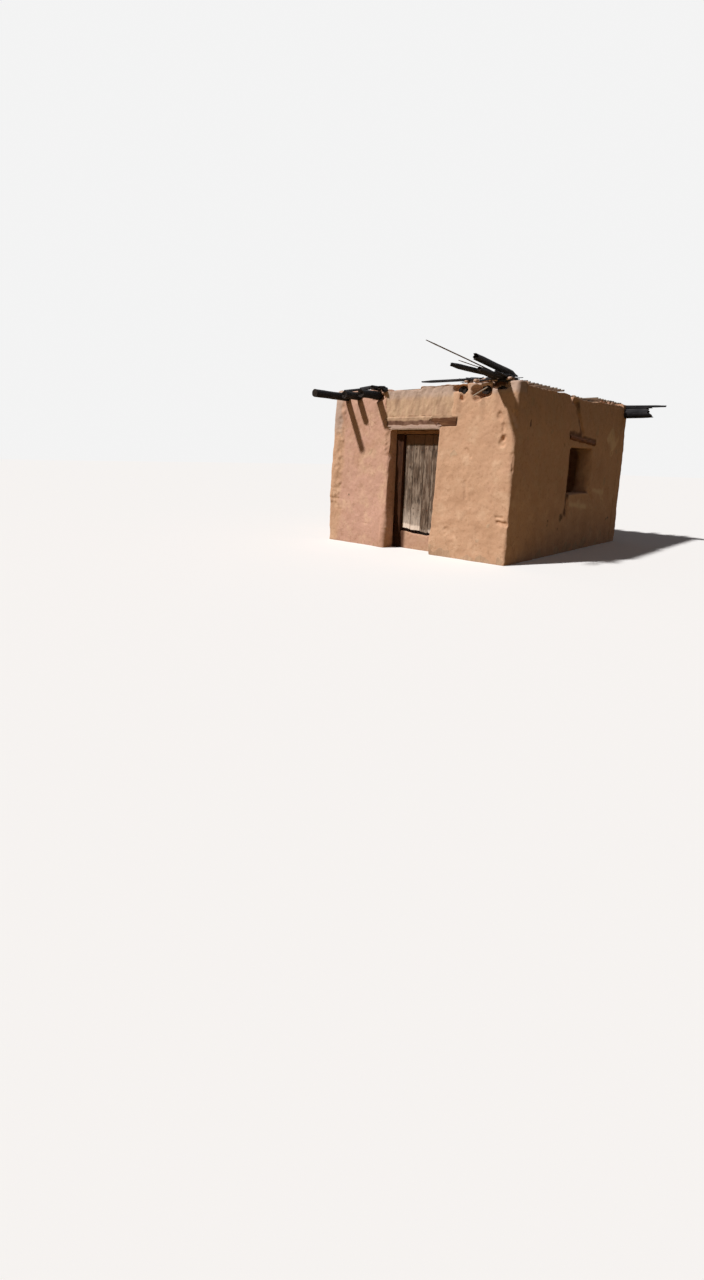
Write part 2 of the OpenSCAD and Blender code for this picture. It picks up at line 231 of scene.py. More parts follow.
def rounded(p, edges, radius):
    """Rounds a solid where its flat sides meet. Each side gives the distance of the points from
    it, its inward direction and how far it shows. A point moves by S(1 - m/|S|), where S sums its
    shortfalls from the sides and m is the largest one. Also returns the direction of S."""
    total, largest = np.zeros_like(p), np.zeros(len(p))
    for gone, inward, shows in edges:
        short = shows * np.maximum(radius - gone, 0)
        total += short[:, None] * inward
        largest = np.maximum(largest, short)
    towards = total / np.maximum(np.linalg.norm(total, axis=1), 1e-9)[:, None]
    return p + total - towards * largest[:, None], towards


def volume(points, faces):
    """Six times the volume inside: the sum of p0 . (p1 x p2) over the triangles of each face."""
    total = 0.0
    for f in faces:
        for n in range(1, f.shape[1] - 1):
            a, b, c = points[f[:, 0]], points[f[:, n]], points[f[:, n + 1]]
            total += np.einsum("ij,ij->", a, np.cross(b, c))
    return total


def joined(shapes):
    """Several shapes (points, faces, marks) as one."""
    points, faces, first = [], [], 0
    for p, f, _ in shapes:
        points.append(p)
        faces += [part + first for part in f]
        first += len(p)
    marks = {key: np.concatenate([m[key] for _, _, m in shapes]) for key in shapes[0][2]}
    return np.concatenate(points), faces, marks


# Edges at which the surface turns by more than this stay sharp
CREASE = math.radians(50)


def piece(name, shape, finish, body="house", replaces=()):
    """A finished piece in the scene from its points, faces and marks. Faces are turned outwards
    by the sign of the volume."""
    points, faces, marks = shape
    if volume(points, faces) < 0:
        faces = [f[:, ::-1] for f in faces]
    mesh = bpy.data.meshes.new(name)
    mesh.vertices.add(len(points))
    mesh.vertices.foreach_set("co", (points + MIDDLE).astype(np.float32).ravel())
    corners = np.concatenate([f.ravel() for f in faces]).astype(np.int32)
    sides = np.concatenate([np.full(len(f), f.shape[1]) for f in faces])
    mesh.loops.add(len(corners))
    mesh.loops.foreach_set("vertex_index", corners)
    mesh.polygons.add(len(sides))
    mesh.polygons.foreach_set("loop_start", (np.cumsum(sides) - sides).astype(np.int32))
    mesh.update(calc_edges=True)
    mesh.validate()
    mesh.polygons.foreach_set("use_smooth", np.ones(len(mesh.polygons), bool))
    mesh.set_sharp_from_angle(angle=CREASE)
    for key, values in marks.items():
        kind, field = ("FLOAT", "value") if values.ndim == 1 else ("FLOAT_VECTOR", "vector")
        mark = mesh.attributes.new(key, kind, "POINT")
        mark.data.foreach_set(field, values.astype(np.float32).ravel())
    mesh.materials.append(finish)
    made = bpy.data.objects.new(name, mesh)
    bpy.context.scene.collection.objects.link(made)
    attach(made, body)
    if replaces:
        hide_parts(*replaces)


def cover(node, kind, shape, finish, slot, body="house"):
    """A finished piece that takes the place of one CAD node."""
    piece(f"{node}_{kind}", shape, finish, body, (node,))


# Finishes
def srgb(red, green, blue):
    """Linear colour from the 0 to 255 values that a screen shows."""
    c = np.array([red, green, blue]) / 255
    return (*np.where(c > 0.04045, ((c + 0.055) / 1.055) ** 2.4, c / 12.92), 1.0)


class Socket:
    """An output of a shader node. Adding, multiplying and the like put Math nodes behind it."""

    def __init__(self, finish, port):
        self.finish, self.port = finish, port

    def math(self, operation, a, b):
        return self.finish.add("ShaderNodeMath", {"operation": operation}, {0: a, 1: b})

    def __add__(self, other):
        return self.math("ADD", self, other)

    def __radd__(self, other):
        return self.math("ADD", other, self)

    def __sub__(self, other):
        return self.math("SUBTRACT", self, other)

    def __rsub__(self, other):
        return self.math("SUBTRACT", other, self)

    def __mul__(self, other):
        return self.math("MULTIPLY", self, other)

    def __rmul__(self, other):
        return self.math("MULTIPLY", other, self)

    def or_more(self, other):
        return self.math("MAXIMUM", self, other)


class Finish:
    """A procedural material, or the world, under construction."""

    def __init__(self, owner, end="ShaderNodeOutputMaterial"):
        owner.use_nodes = True
        self.owner, self.end, self.tree = owner, end, owner.node_tree
        self.tree.nodes.clear()

    def add(self, kind, settings=None, inputs=None, output=0):
        """A node of that type: its settings first, then the values or links of its sockets."""
        node = self.tree.nodes.new(kind)
        for key, value in (settings or {}).items():
            setattr(node, key, value)
        for key, value in (inputs or {}).items():
            if isinstance(value, Socket):
                self.tree.links.new(value.port, node.inputs[key])
            else:
                node.inputs[key].default_value = value
        return Socket(self, node.outputs[output])

    def place(self):
        return self.add("ShaderNodeTexCoord", output="Object")

    def mark(self, name, output="Fac"):
        return self.add("ShaderNodeAttribute", {"attribute_name": name}, output=output)

    def vector(self, operation, at, by):
        return self.add("ShaderNodeVectorMath", {"operation": operation}, {0: at, 1: by})

    def drawn(self, at, by):
        """The place scaled along its third number, to draw a pattern out along it."""
        return self.vector("MULTIPLY", at, (1.0, 1.0, by))

    def noise(self, at, scale, detail=4.0, rough=0.55, warp=0.0):
        return self.add("ShaderNodeTexNoise", {}, {
            "Vector": at, "Scale": scale, "Detail": detail, "Roughness": rough, "Distortion": warp})

    def cells(self, at, scale, feature="F1"):
        return self.add("ShaderNodeTexVoronoi", {"feature": feature}, {
            "Vector": at, "Scale": scale}, "Distance")

    def band(self, value, low, high):
        return self.add("ShaderNodeMapRange", {"interpolation_type": "SMOOTHSTEP"}, {
            "Value": value, "From Min": low, "From Max": high})

    def blend(self, share, a, b):
        """One colour with a share of another; a plain colour is given as a screen shows it."""
        a, b = (c if isinstance(c, Socket) else srgb(*c) for c in (a, b))
        return self.add("ShaderNodeMix", {"data_type": "RGBA", "clamp_factor": True}, {
            0: share, 6: a, 7: b}, 2)

    def over(self, colour, *layers):
        """A colour with layers (share, colour) laid over it in turn."""
        for share, laid in layers:
            colour = self.blend(share, colour, laid)
        return colour

    def done(self, colour, roughness, height, depth, gloss, metal=0.0):
        """Closes the material: a bump of that depth in metres under a plain shader."""
        normal = self.add("ShaderNodeBump", {}, {
            "Height": height, "Distance": depth, "Strength": 1.0}, "Normal")
        return self.closed(self.add("ShaderNodeBsdfPrincipled", {}, {
            "Base Color": colour, "Roughness": roughness, "Metallic": metal,
            "Specular IOR Level": gloss, "Normal": normal}, "BSDF"))

    def closed(self, shader):
        """The material or world, which ends in that shader."""
        self.tree.links.new(shader.port, self.tree.nodes.new(self.end).inputs[0])
        return self.owner


def mud_finish(name, pink, tan, bare, stain_and_shade_colour):
    """Mud coat: broad drifts between two tones, hand-sized blotches, straw, grit, fine cracks,
    dark stains and painted shade, a pale bloom and painted highlights, and raw adobe where the coat is gone."""
    f = Finish(bpy.data.materials.new(name))
    at = f.place()
    drift = f.noise(at, 0.9, 3.0)
    blotch = f.noise(at, 5.0, 5.0, 0.6)
    lumps = f.noise(at, 22.0, 5.0, 0.6)
    grit = f.noise(at, 140.0, 3.0, 0.7)
    tone = f.band(f.mark("tone") + (drift - 0.5) * 1.1 + (blotch - 0.5) * 0.5, 0.1, 0.9)
    bare_share = f.band(f.mark("bare") + (lumps - 0.5) * 0.5, 0.35, 0.65)
    raw = f.blend(f.band(f.noise(f.drawn(at, 0.3), 18.0, 4.0), 0.35, 0.7), bare, (204, 172, 142))
    # Straw: short strokes in two directions, from cells drawn out along them
    strokes = []
    for angle, stretch in ((0.5, (95.0, 95.0, 17.0)), (-0.7, (24.0, 24.0, 120.0))):
        turned = f.add("ShaderNodeMapping", {}, {"Vector": at, "Rotation": (angle, angle * 0.6, 0.3)})
        strokes.append(f.band(f.cells(f.vector("MULTIPLY", turned, stretch), 1.0), 0.2, 0.1))
    straw = strokes[0].or_more(strokes[1]) * f.band(f.noise(at, 3.0, 2.0), 0.42, 0.6)
    # Pits and hairline cracks
    pits = f.band(f.cells(at, 34.0), 0.16, 0.05)
    wander = f.add("ShaderNodeTexNoise", {}, {"Vector": at, "Scale": 7.0, "Detail": 3.0}, "Color")
    warped = f.vector("ADD", at, f.vector("MULTIPLY", wander, (0.09, 0.09, 0.09)))
    crack = f.band(f.cells(warped, 3.1, "DISTANCE_TO_EDGE"), 0.012, 0.003)
    crack = crack * f.band(f.noise(at, 1.7, 2.0), 0.58, 0.68)
    # Grey dust where its mark is above zero, and a pale bloom where it is below, which on the right wall
    # also paints highlights
    dust_and_highlight = f.mark("dust_and_highlight") + (lumps - 0.5) * 0.4
    colour = f.over(
        f.blend(tone, pink, tan),
        (f.band(blotch, 0.46, 0.72) * 0.6, (224, 188, 158)),
        (f.band(f.noise(at, 2.6, 4.0), 0.5, 0.3) * 0.35, (184, 142, 112)),
        (f.band(lumps, 0.5, 0.25) * 0.42, (158, 116, 88)),
        (bare_share, raw),
        (straw * 0.5, (226, 198, 148)),
        (f.band(dust_and_highlight, 0.2, 0.8) * 0.7, (184, 164, 154)),
        (f.band(dust_and_highlight, -0.2, -0.9) * 0.8, (240, 214, 182)),
        # Real stains and painted shade both darken towards this colour
        (f.band(f.mark("stain_and_shade") + (blotch - 0.5) * 0.3, 0.1, 0.9), stain_and_shade_colour),
        (crack * 0.3, (122, 86, 64)),
        (pits * 0.45, (110, 76, 54)))
    height = lumps * 0.55 + grit * 0.22 + straw * 0.12 + bare_share * blotch * 0.3 - pits * 0.4 - crack * 0.2
    return f.done(colour, 0.93, height, 0.008, 0.12)


def wood_finish(name, base, light, dark, cut, streak, bleached=None, mottle=0.0):
    """Old timber: fibres drawn out along the grain mark, pale and dark streaks, checks, a bleached
    tone where the worn mark is above zero, a lighter, redder one where it is below (a mud stain, and painted
    light on the planks' tops in the lintel's shade), and end grain where the cut mark is. Grain's third
    number runs along the piece."""
    f = Finish(bpy.data.materials.new(name))
    at = f.mark("grain", "Vector")
    slow = f.noise(f.drawn(at, 0.09), 26.0, 4.0, 0.6, 0.4)
    fibre = f.noise(f.drawn(at, 0.035), 150.0, 4.0, 0.65)
    fine = f.noise(f.drawn(at, 0.06), 420.0, 2.0, 0.6)
    patch = f.noise(at, 3.3, 3.0)
    checks = f.band(f.cells(f.drawn(at, 0.045), 42.0, "DISTANCE_TO_EDGE"), 0.05, 0.012)
    checks = checks * f.band(f.noise(at, 7.0, 2.0), 0.45, 0.6)
    colour = f.over(
        f.blend(f.band(slow + (patch - 0.5) * 0.6, 0.42, 0.62) * streak, base, light),
        (f.band(fibre, 0.52, 0.36) * 0.75, dark),
        (checks * 0.85, dark))
    if mottle:
        colour = f.over(colour, (f.band(f.noise(f.drawn(at, 0.28), 13.0, 3.0), 0.50, 0.64) * mottle, dark))
    ends = f.band(f.mark("cut"), 0.4, 0.6)
    ring = f.add("ShaderNodeTexWave", {"wave_type": "RINGS", "rings_direction": "Z"}, {
        "Vector": at, "Scale": 70.0, "Distortion": 3.0, "Detail": 2.0})
    colour = f.over(
        colour,
        (f.band(f.mark("worn") + (fibre - 0.5) * 0.6, 0.2, 0.8), bleached or light),
        # Lighter, redder tone below zero: a mud stain, and painted light on the planks' shaded tops
        (f.band(f.mark("worn") + (slow - 0.5) * 0.5, -0.1, -0.9), (130, 98, 78)),
        (ends, f.blend(f.band(ring, 0.2, 0.9), cut, dark)))
    height = fibre * 0.5 + fine * 0.2 + slow * 0.4 - checks * 0.9 - ends * ring * 0.3
    return f.done(colour, 0.8, height, 0.003, 0.2)


def iron_finish(name):
    """Forged iron gone to rust: brown blooms over dark scale, with pitting."""
    f = Finish(bpy.data.materials.new(name))
    at = f.place()
    bloom = f.noise(at, 30.0, 5.0, 0.65)
    pits = f.noise(at, 240.0, 3.0, 0.6)
    colour = f.over(f.blend(f.band(bloom, 0.4, 0.6), (58, 44, 38), (124, 72, 42)),
                    (f.band(pits, 0.55, 0.7) * 0.6, (150, 96, 58)))
    return f.done(colour, 0.75, bloom * 0.4 + pits * 0.6, 0.0012, 0.4, metal=0.35)


# Mud coats: their two tones, raw adobe, and the colour of stains and painted shade. Timbers: base, light,
# dark and end grain, how streaked they are, then the bleached tone and the share of dark blotches
MUD = mud_finish("pink_mud_coat", (205, 162, 143), (206, 165, 135), (188, 154, 128), (80, 52, 38))
EARTH = mud_finish("roof_earth", (190, 150, 122), (196, 158, 122), (176, 138, 102), (118, 86, 64))
DARK_POLE = wood_finish("smoke_dark_pole", (34, 33, 36), (66, 64, 66), (9, 9, 12), (58, 46, 38), 0.6)
GREY_STICK = wood_finish("grey_stick", (120, 106, 94), (168, 152, 136), (62, 50, 42), (120, 96, 74), 0.9)
BROWN_TIMBER = wood_finish("brown_timber", (94, 57, 33), (126, 88, 60), (46, 25, 14), (110, 78, 52), 0.7)
PALE_BOARD = wood_finish("pale_board", (204, 178, 160), (226, 204, 188), (130, 102, 82), (150, 120, 94), 0.9)
GREY_PLANK = wood_finish("grey_plank", (108, 89, 74), (164, 146, 130), (48, 34, 25), (112, 88, 70), 0.75,
                         (238, 220, 204), 0.55)
# Wood lighter than the head's own colour, as painted light in the lintel's shade
PAINTED_LIGHT_HEAD_TIMBER = wood_finish("door_head_painted_light", (170, 126, 94), (190, 150, 120), (98, 62, 42),
                          (110, 78, 52), 0.6)
LOG_TIMBER = wood_finish("weathered_log", (112, 64, 30), (130, 84, 48), (50, 24, 9), (100, 62, 36), 0.8)
# Dark brown wood, darkened further as painted shade of the doorway the posts stand in
PAINTED_SHADE_FRAME = wood_finish("door_frame_painted_shade", (62, 32, 13), (88, 54, 28), (28, 13, 5), (70, 46, 30), 0.6)
RUST = iron_finish("rusted_iron")

# Walls: along, outward, then half the length and depth of the house along and outward, and the
# same of its room
UP = np.array([0.0, 0.0, 1.0])
SIDES = {
    "front": ((1, 0, 0), (0, -1, 0), HALF_X, HALF_Y, IN_X, IN_Y),
    "right": ((0, 1, 0), (1, 0, 0), HALF_Y, HALF_X, IN_Y, IN_X),
    "back": ((-1, 0, 0), (0, 1, 0), HALF_X, HALF_Y, IN_X, IN_Y),
    "left": ((0, -1, 0), (-1, 0, 0), HALF_Y, HALF_X, IN_Y, IN_X),
}
# Spacing of a wall's rows, and how many times larger the cells of its room side are
ROW, ROOM_CELLS = 0.014, 3
# Cuts through a wall, as shares of its thickness from the outer face
THROUGH = np.array([0, 0.02, 0.045, 0.08, 0.12, 0.2, 0.32, 0.5, 0.68, 0.8, 0.88, 0.92, 0.955, 0.98, 1.0])
# Heights at a wall's foot and top that stay clear of the rows it shares with its neighbours
FOOT_BAND, TOP_BAND = 0.045, 0.115
# Radius of a wall's edges, its drift to either side, and what is added at the house's corners
# and at the window's far reveal
EDGE_RADIUS, EDGE_DRIFT, CORNER_MORE, REVEAL_MORE = 0.034, 0.016, 0.016, 0.07
# Share of the wear that the room side has, and the length over which its rounding fades
ROOM_WEAR, ROOM_FADE = 0.6, 0.08


def face_y(z):
    """Distance of the front and back faces from the middle at a height."""
    return HALF_Y - LEAN * z


def face_x(z):
    """Distance of the right and left faces from the middle at a height."""
    return HALF_X - LEAN * z


def on_front(x, z):
    """A point on the front face."""
    return (x, -face_y(z), z)


def on_right(y, z):
    """A point on the right face."""
    return (face_x(z), y, z)


def marks_on(face, rows):
    """Marks on a face: the two ends of each as points, and the numbers that follow them."""
    return [(face(a, b), face(c, d), *rest) for a, b, c, d, *rest in rows]


# Hollows and grooves in the coat: from, to, radius, depth
HOLLOWS = marks_on(on_front, [
    (1.47, 2.10, 1.48, 2.06, 0.060, 0.024),
    (1.57, 1.77, 1.568, 1.70, 0.070, 0.028),
    (1.555, 1.95, 1.57, 1.76, 0.040, 0.020),
    (1.63, 0.61, 1.80, 0.59, 0.045, 0.026),
    (1.60, 0.68, 1.70, 0.68, 0.03, 0.014),
    (1.70, 2.10, 1.76, 1.98, 0.07, 0.020),
    (1.75, 1.55, 1.79, 1.35, 0.06, 0.016),
    (-1.20, 0.62, -1.12, 0.55, 0.07, 0.012),
    (0.75, 0.42, 0.86, 0.36, 0.08, 0.014),
    (0.98, 1.62, 1.06, 1.52, 0.05, 0.010),
    (1.02, 1.15, 1.05, 0.95, 0.05, 0.010),
]) + marks_on(on_right, [
    (-0.35, 2.45, -0.187, 2.375, 0.075, 0.040),
    (-0.187, 2.375, -0.02, 2.18, 0.060, 0.042),
    (-0.02, 2.18, 0.166, 1.967, 0.055, 0.042),
    (0.166, 1.967, 0.20, 1.86, 0.055, 0.034),
    (1.46, 1.95, 1.48, 1.90, 0.06, 0.012),
    (-0.23, 0.99, -0.24, 0.75, 0.030, 0.036),
    (-0.24, 0.75, -0.20, 0.60, 0.020, 0.018),
    (0.62, 1.00, 0.80, 0.86, 0.06, 0.016),
])
# Deep holes under the kerb, where roof poles broke off inside the wall and clods fell out
BROKEN_OUT = marks_on(on_front, [
    (0.70, 2.475, 0.83, 2.465, 0.072, 0.085),
    (0.82, 2.44, 0.825, 2.345, 0.050, 0.055),
    (1.05, 2.42, 1.08, 2.370, 0.098, 0.110),
    (1.10, 2.41, 1.22, 2.425, 0.096, 0.115),
    (1.34, 2.50, 1.50, 2.50, 0.080, 0.120),
    (-0.86, 2.40, -0.72, 2.42, 0.060, 0.040),
])
# Edges that rain has worn, or that stand proud, in the coat's own colour: from, to, radius, depth
WORN_EDGES = marks_on(on_front, [
    (DOOR_L, 2.00, DOOR_L, 1.55, 0.13, 0.030),
    (DOOR_L, 1.55, DOOR_L, 1.15, 0.07, 0.012),
    (-1.80, 0.90, -1.73, 2.42, 0.26, -0.034),
    (-1.83, 0.45, -1.80, 0.75, 0.16, -0.008),
])
# Swellings of the coat at the doorway's foot: centre, radius, height
SWELLINGS = [
    ((DOOR_R, -HALF_Y + 0.03, 0.16), 0.34, 0.024),
    ((DOOR_L, -HALF_Y + 0.06, 0.26), 0.60, 0.070),
]
# Pale places on the right wall, the one beside the groove a painted highlight on its lit flank: from, to,
# radius
PALE_AND_HIGHLIGHT_MARKS = marks_on(on_right, [
    (1.44, 1.97, 1.55, 1.84, 0.20),
    (0.84, 1.02, 1.30, 0.96, 0.11),
    (-0.12, 2.38, -0.06, 2.22, 0.09),
    (-0.1, 0.80, 0.55, 0.74, 0.14),
])
# Painted shade on the right wall: in and beside the groove, along the window log and in the crack under the
# window: from, to, radius
PAINTED_SHADE_MARKS = marks_on(on_right, [
    (-0.12, 2.36, -0.04, 2.13, 0.13),
    (-0.04, 2.13, 0.13, 1.99, 0.14),
    (-0.36, 1.92, 0.74, 1.84, 0.11),
    (-0.27, 0.98, -0.28, 0.68, 0.11),
])
# Heights of the adobe courses' joints that show through the worn coat at the lower left
COURSES = (0.93, 0.76, 0.58, 0.39)
# Left, right and top edge of the patch of bare adobe over the door
PATCH_L, PATCH_R, PATCH_TOP = -0.62, 0.68, 2.545
# Dips of the right wall's top: place along it, depth
DIPS = np.array([(-3, 0), (-0.46, 0), (-0.405, 0.072), (-0.34, 0.066), (-0.28, 0.022),
                 (0.04, 0.034), (0.42, 0.040), (0.72, 0.018), (0.92, 0), (3, 0)])
# Heights of the coat's relief: broad waves, hand-sized lumps, strokes of the hand and grit
WAVES, LUMPS, STROKES, GRIT = 0.009, 0.013, 0.0045, 0.0022
# Depths to which it is worn: foot, top, joints of the courses and rim round a pole
WORN_FOOT, WORN_TOP, WORN_JOINT, WORN_RIM = 0.016, 0.014, 0.006, 0.016
# Width of that rim
RIM_WIDTH = 0.045
# Depth of the pocket round the lintel and head board
POCKET = 0.024
# How far the coat may stand out of the CAD face, and how much further beside the doorway
PROUD, PROUD_BY_DOOR = 0.025, 0.035


def patch_share(p):
    """1 where the coat has fallen off over the door, 0 elsewhere, with a ragged edge."""
    x, z = p[:, 0], p[:, 2]
    rag = 0.035 * layered(p, 0.12, 3, 5)
    inside = np.minimum(x + rag - PATCH_L, PATCH_R - x + rag * 1.2)
    inside = np.minimum(inside, z - LINTEL_HIGH[2] + 0.012 + 0.4 * rag)
    inside = np.minimum(inside, PATCH_TOP - z + 0.5 * rag)
    return ramp(inside, 0.0, 0.014) * (p[:, 1] < -face_y(p[:, 2]) + 0.12)


def inside_by(p, low, high):
    """How far the points lie inside a box as seen from the front, less than 0 outside it."""
    return np.min([side for n in (0, 2) for side in (p[:, n] - low[n], high[n] - p[:, n])], axis=0)


def pocket_share(p):
    """1 round the ends of the lintel and head board, where they lie in the coat."""
    inside = np.maximum(inside_by(p, LINTEL_LOW, LINTEL_HIGH), inside_by(p, BOARD_LOW, BOARD_HIGH))
    return ramp(inside, -0.004, 0.004) * (p[:, 1] < -IN_Y)


def pole_rings(p):
    """How near each point is to the edge of a roof pole that comes out of the wall."""
    near = np.zeros(len(p))
    for low, high in map(box, VIGAS):
        x, z, r = (low[0] + high[0]) / 2, (low[2] + high[2]) / 2, (high[2] - low[2]) / 2
        gone = np.hypot(p[:, 0] - x, p[:, 2] - z) - r
        shows = (p[:, 1] > 0) | (low[1] < -face_y(z) - 0.02)
        outside = np.abs(p[:, 1]) > IN_Y + 0.05
        near = np.maximum(near, ramp(gone, RIM_WIDTH, 0.0) * shows * outside)
    return near


def lost_depth(p):
    """Depth of the coat's surface under the CAD face: broad waves, hand-sized lumps, grit, a
    worn foot and top, then the hollows, swellings, bare patch and pockets."""
    x, y, z = p.T
    depth = WAVES * (0.6 + layered(p, 0.75, 2, 1)) + LUMPS * np.abs(layered(p, 0.21, 3, 7))
    depth = depth + STROKES * (0.5 + layered(p * np.array([1.0, 1.0, 0.6]), 0.13, 2, 9))
    depth = depth + GRIT * layered(p, 0.045, 2, 11)
    depth = depth + WORN_FOOT * (ramp(z, 0.34, 0.0) * (0.5 + 0.5 * layered(p, 0.3, 2, 13)))
    depth = depth + WORN_TOP * ramp(z, WALL_TOP - 0.16, WALL_TOP) * (0.4 + layered(p, 0.14, 3, 17))
    # Hollows, worn edges and broken holes, joints of the courses, and swellings
    for a, b, radius, deep in HOLLOWS + WORN_EDGES:
        gone = from_line(p, a, b) * (1 + 0.35 * noise(p, 0.06, 19))
        depth = depth + deep * ramp(gone, radius, radius * 0.25)
    for a, b, radius, deep in BROKEN_OUT:
        gone = from_line(p, a, b) + 0.22 * radius * layered(p, 0.07, 2, 21)
        depth = depth + deep * ramp(gone, radius, radius * 0.55)
    for joint in COURSES:
        sag = joint + 0.02 * noise(p, 0.5, 25) - z
        depth = depth + WORN_JOINT * ramp(np.abs(sag), 0.022, 0.0) * ramp(x, -0.4, -0.9) \
            * ramp(noise(p, 0.35, 27), -0.3, 0.3)
    for centre, radius, high in SWELLINGS:
        depth = depth - high * ramp(np.linalg.norm(p - np.array(centre), axis=1), radius, 0.0)
    # Raw adobe over the door, with slanted strokes
    bare = patch_share(p)
    drawn = (p - 0.3 * p[:, 2:] * np.array([1.0, 0, 0])) * np.array([1.0, 1.0, 0.42])
    raw = 0.017 + 0.010 * layered(drawn, 0.075, 3, 23) + 0.010 * np.abs(layered(p, 0.11, 3, 29))
    depth = depth * (1 - bare) + bare * (0.6 * depth + np.maximum(raw, 0.004))
    depth = depth + WORN_RIM * pole_rings(p)
    # The coat stands out no further than its limit, and lies on the CAD face at the door posts
    by_door = ramp(np.abs(x - DOOR_L), 0.10, 0.03) * (y < POST_FRONT - 0.03)
    depth = np.maximum(depth, -PROUD - PROUD_BY_DOOR * by_door)
    beside_post = ramp(np.minimum(np.abs(x - DOOR_L), np.abs(x - DOOR_R)), 0.07, 0.04)
    beside_post = beside_post * ramp(y, POST_FRONT - 0.03, POST_FRONT) * (y < -IN_Y + 0.02)
    return depth * (1 - beside_post) + POCKET * pocket_share(p)


def coat_marks(p):
    """Marks of the coat: tone from pink at the left to tan at the right, bareness, stains round
    the doorway and down from the poles, painted shade in the holes, by the near corner's shadow band and
    over the right wall, and dust, which is below 0 for pale places and for painted highlights."""
    x, y, z = p.T
    front = y < -IN_Y
    outer = np.abs(y) > IN_Y + 0.05
    flaked = ramp(layered(p, 0.24, 3, 31) + 0.45 * ramp(z, 0.3, 0.0), 0.5, 0.62)
    for a, b, radius, deep in HOLLOWS + BROKEN_OUT:
        share = ramp(from_line(p, a, b), radius, radius * 0.4)
        flaked = np.maximum(flaked, share * min(0.8, 16 * deep))
    # Stains: round the poles and down from them, at the foot and beside the door. Painted shade: beside the
    # near corner's shadow band, in the broken holes, and over the shaded right wall, darker towards its top
    stain_and_shade = 0.4 * pole_rings(p)
    wander = 0.03 * noise(p, 0.3, 37)
    for low, high in map(box, VIGAS):
        run = ramp(np.abs(x - (low[0] + high[0]) / 2 + wander), 0.09, 0.02)
        run = run * ramp(z, low[2] - 0.75, low[2] - 0.05) * (z < low[2] + 0.05)
        stain_and_shade = np.maximum(stain_and_shade, 0.33 * run * outer)
    stain_and_shade = stain_and_shade + 0.28 * ramp(z, 0.1, 0.0) * (0.5 + 0.5 * noise(p, 0.4, 41))
    beside_door = ramp(x, DOOR_R - 0.01, DOOR_R + 0.02) * ramp(x, 0.72, 0.62) * front
    stain_and_shade = stain_and_shade + 0.19 * beside_door * ramp(layered(p, 0.3, 2, 39), -0.5, 0.1)
    # Painted shade just left of the near corner's shadow band
    corner_band_shade = ramp(from_line(p, on_front(1.44, 2.20), on_front(1.60, 1.98)), 0.14, 0.05)
    stain_and_shade = np.maximum(stain_and_shade, 0.27 * corner_band_shade)
    # Painted shade that fills the broken holes
    for a, b, radius, _ in BROKEN_OUT:
        stain_and_shade = np.maximum(stain_and_shade, 0.95 * ramp(from_line(p, a, b), radius, radius * 0.6))
    # Painted shade over the right wall's face, darker towards its top
    shade_side_darkening = 0.10 + 0.17 * ramp(z, 0.7, 1.3) + 0.11 * ramp(z, 1.7, 2.3)
    stain_and_shade = np.maximum(stain_and_shade, shade_side_darkening * ramp(x - face_x(z), -0.10, -0.05))
    # The front's left edge is tan again. Dust lies at its upper right and left and on the patch
    left_edge = x + 0.16 * layered(p, 0.5, 3, 45)
    tone = np.maximum(ramp(x, -1.4, 0.9), 0.9 * ramp(left_edge, -1.46, -1.66)) * 0.8 + 0.1
    bare = patch_share(p)
    dust_and_highlight = 0.75 * ramp(z, 2.28, 2.46) * ramp(x, 0.7, 1.1) * front * ramp(layered(p, 0.16, 2, 33), -0.6, 0.0)
    dust_and_highlight = np.maximum(dust_and_highlight, 0.7 * bare * ramp(z, 2.26, 2.46))
    dust_and_highlight = np.maximum(dust_and_highlight, 0.75 * ramp(left_edge, -1.50, -1.66) * ramp(z, 1.65, 2.05) * front)
    ragged = 1 + 1.3 * layered(p, 0.22, 3, 35)
    # Pale places, and beside the groove a painted highlight
    for a, b, radius in PALE_AND_HIGHLIGHT_MARKS:
        share = ramp(from_line(p, a, b) * ragged, radius, 0.0)
        dust_and_highlight = np.where(share > 0, -0.7 * share, dust_and_highlight)
    # Painted shade in the groove, along the window log and in the crack
    for a, b, radius in PAINTED_SHADE_MARKS:
        stain_and_shade = np.maximum(stain_and_shade, 0.75 * ramp(from_line(p, a, b) * ragged, radius, 0.0))
    return {"tone": tone, "bare": np.maximum(bare, 0.7 * flaked), "stain_and_shade": stain_and_shade, "dust_and_highlight": dust_and_highlight}


def top_line(side, t):
    """Height of a wall's top along it: the CAD top with its worn dips, less a little wear."""
    p = np.stack([t, np.full_like(t, 3.0 + len(side)), 0 * t], -1)
    wear = 0.012 * (0.5 + 0.5 * layered(p, 0.3, 3, 43))
    if side == "back":
        return KERB_TOP - wear
    if side == "front":
        return KERB_TOP - wear - 0.030 * ramp(t, 0.06, 0.02) * ramp(t, -0.66, -0.60)
    if side == "left":
        return WALL_TOP - wear
    return WALL_TOP - wear - np.interp(t, DIPS[:, 0], DIPS[:, 1])


def open_share(z, jamb):
    """1 between the two heights of an open jamb, and down to the ground from its upper one when
    the lower one is 0."""
    low, high = jamb
    share = ramp(z, high + 0.002, high - 0.02)
    return share * ramp(z, low - 0.002, low + 0.02) if low > 0 else share


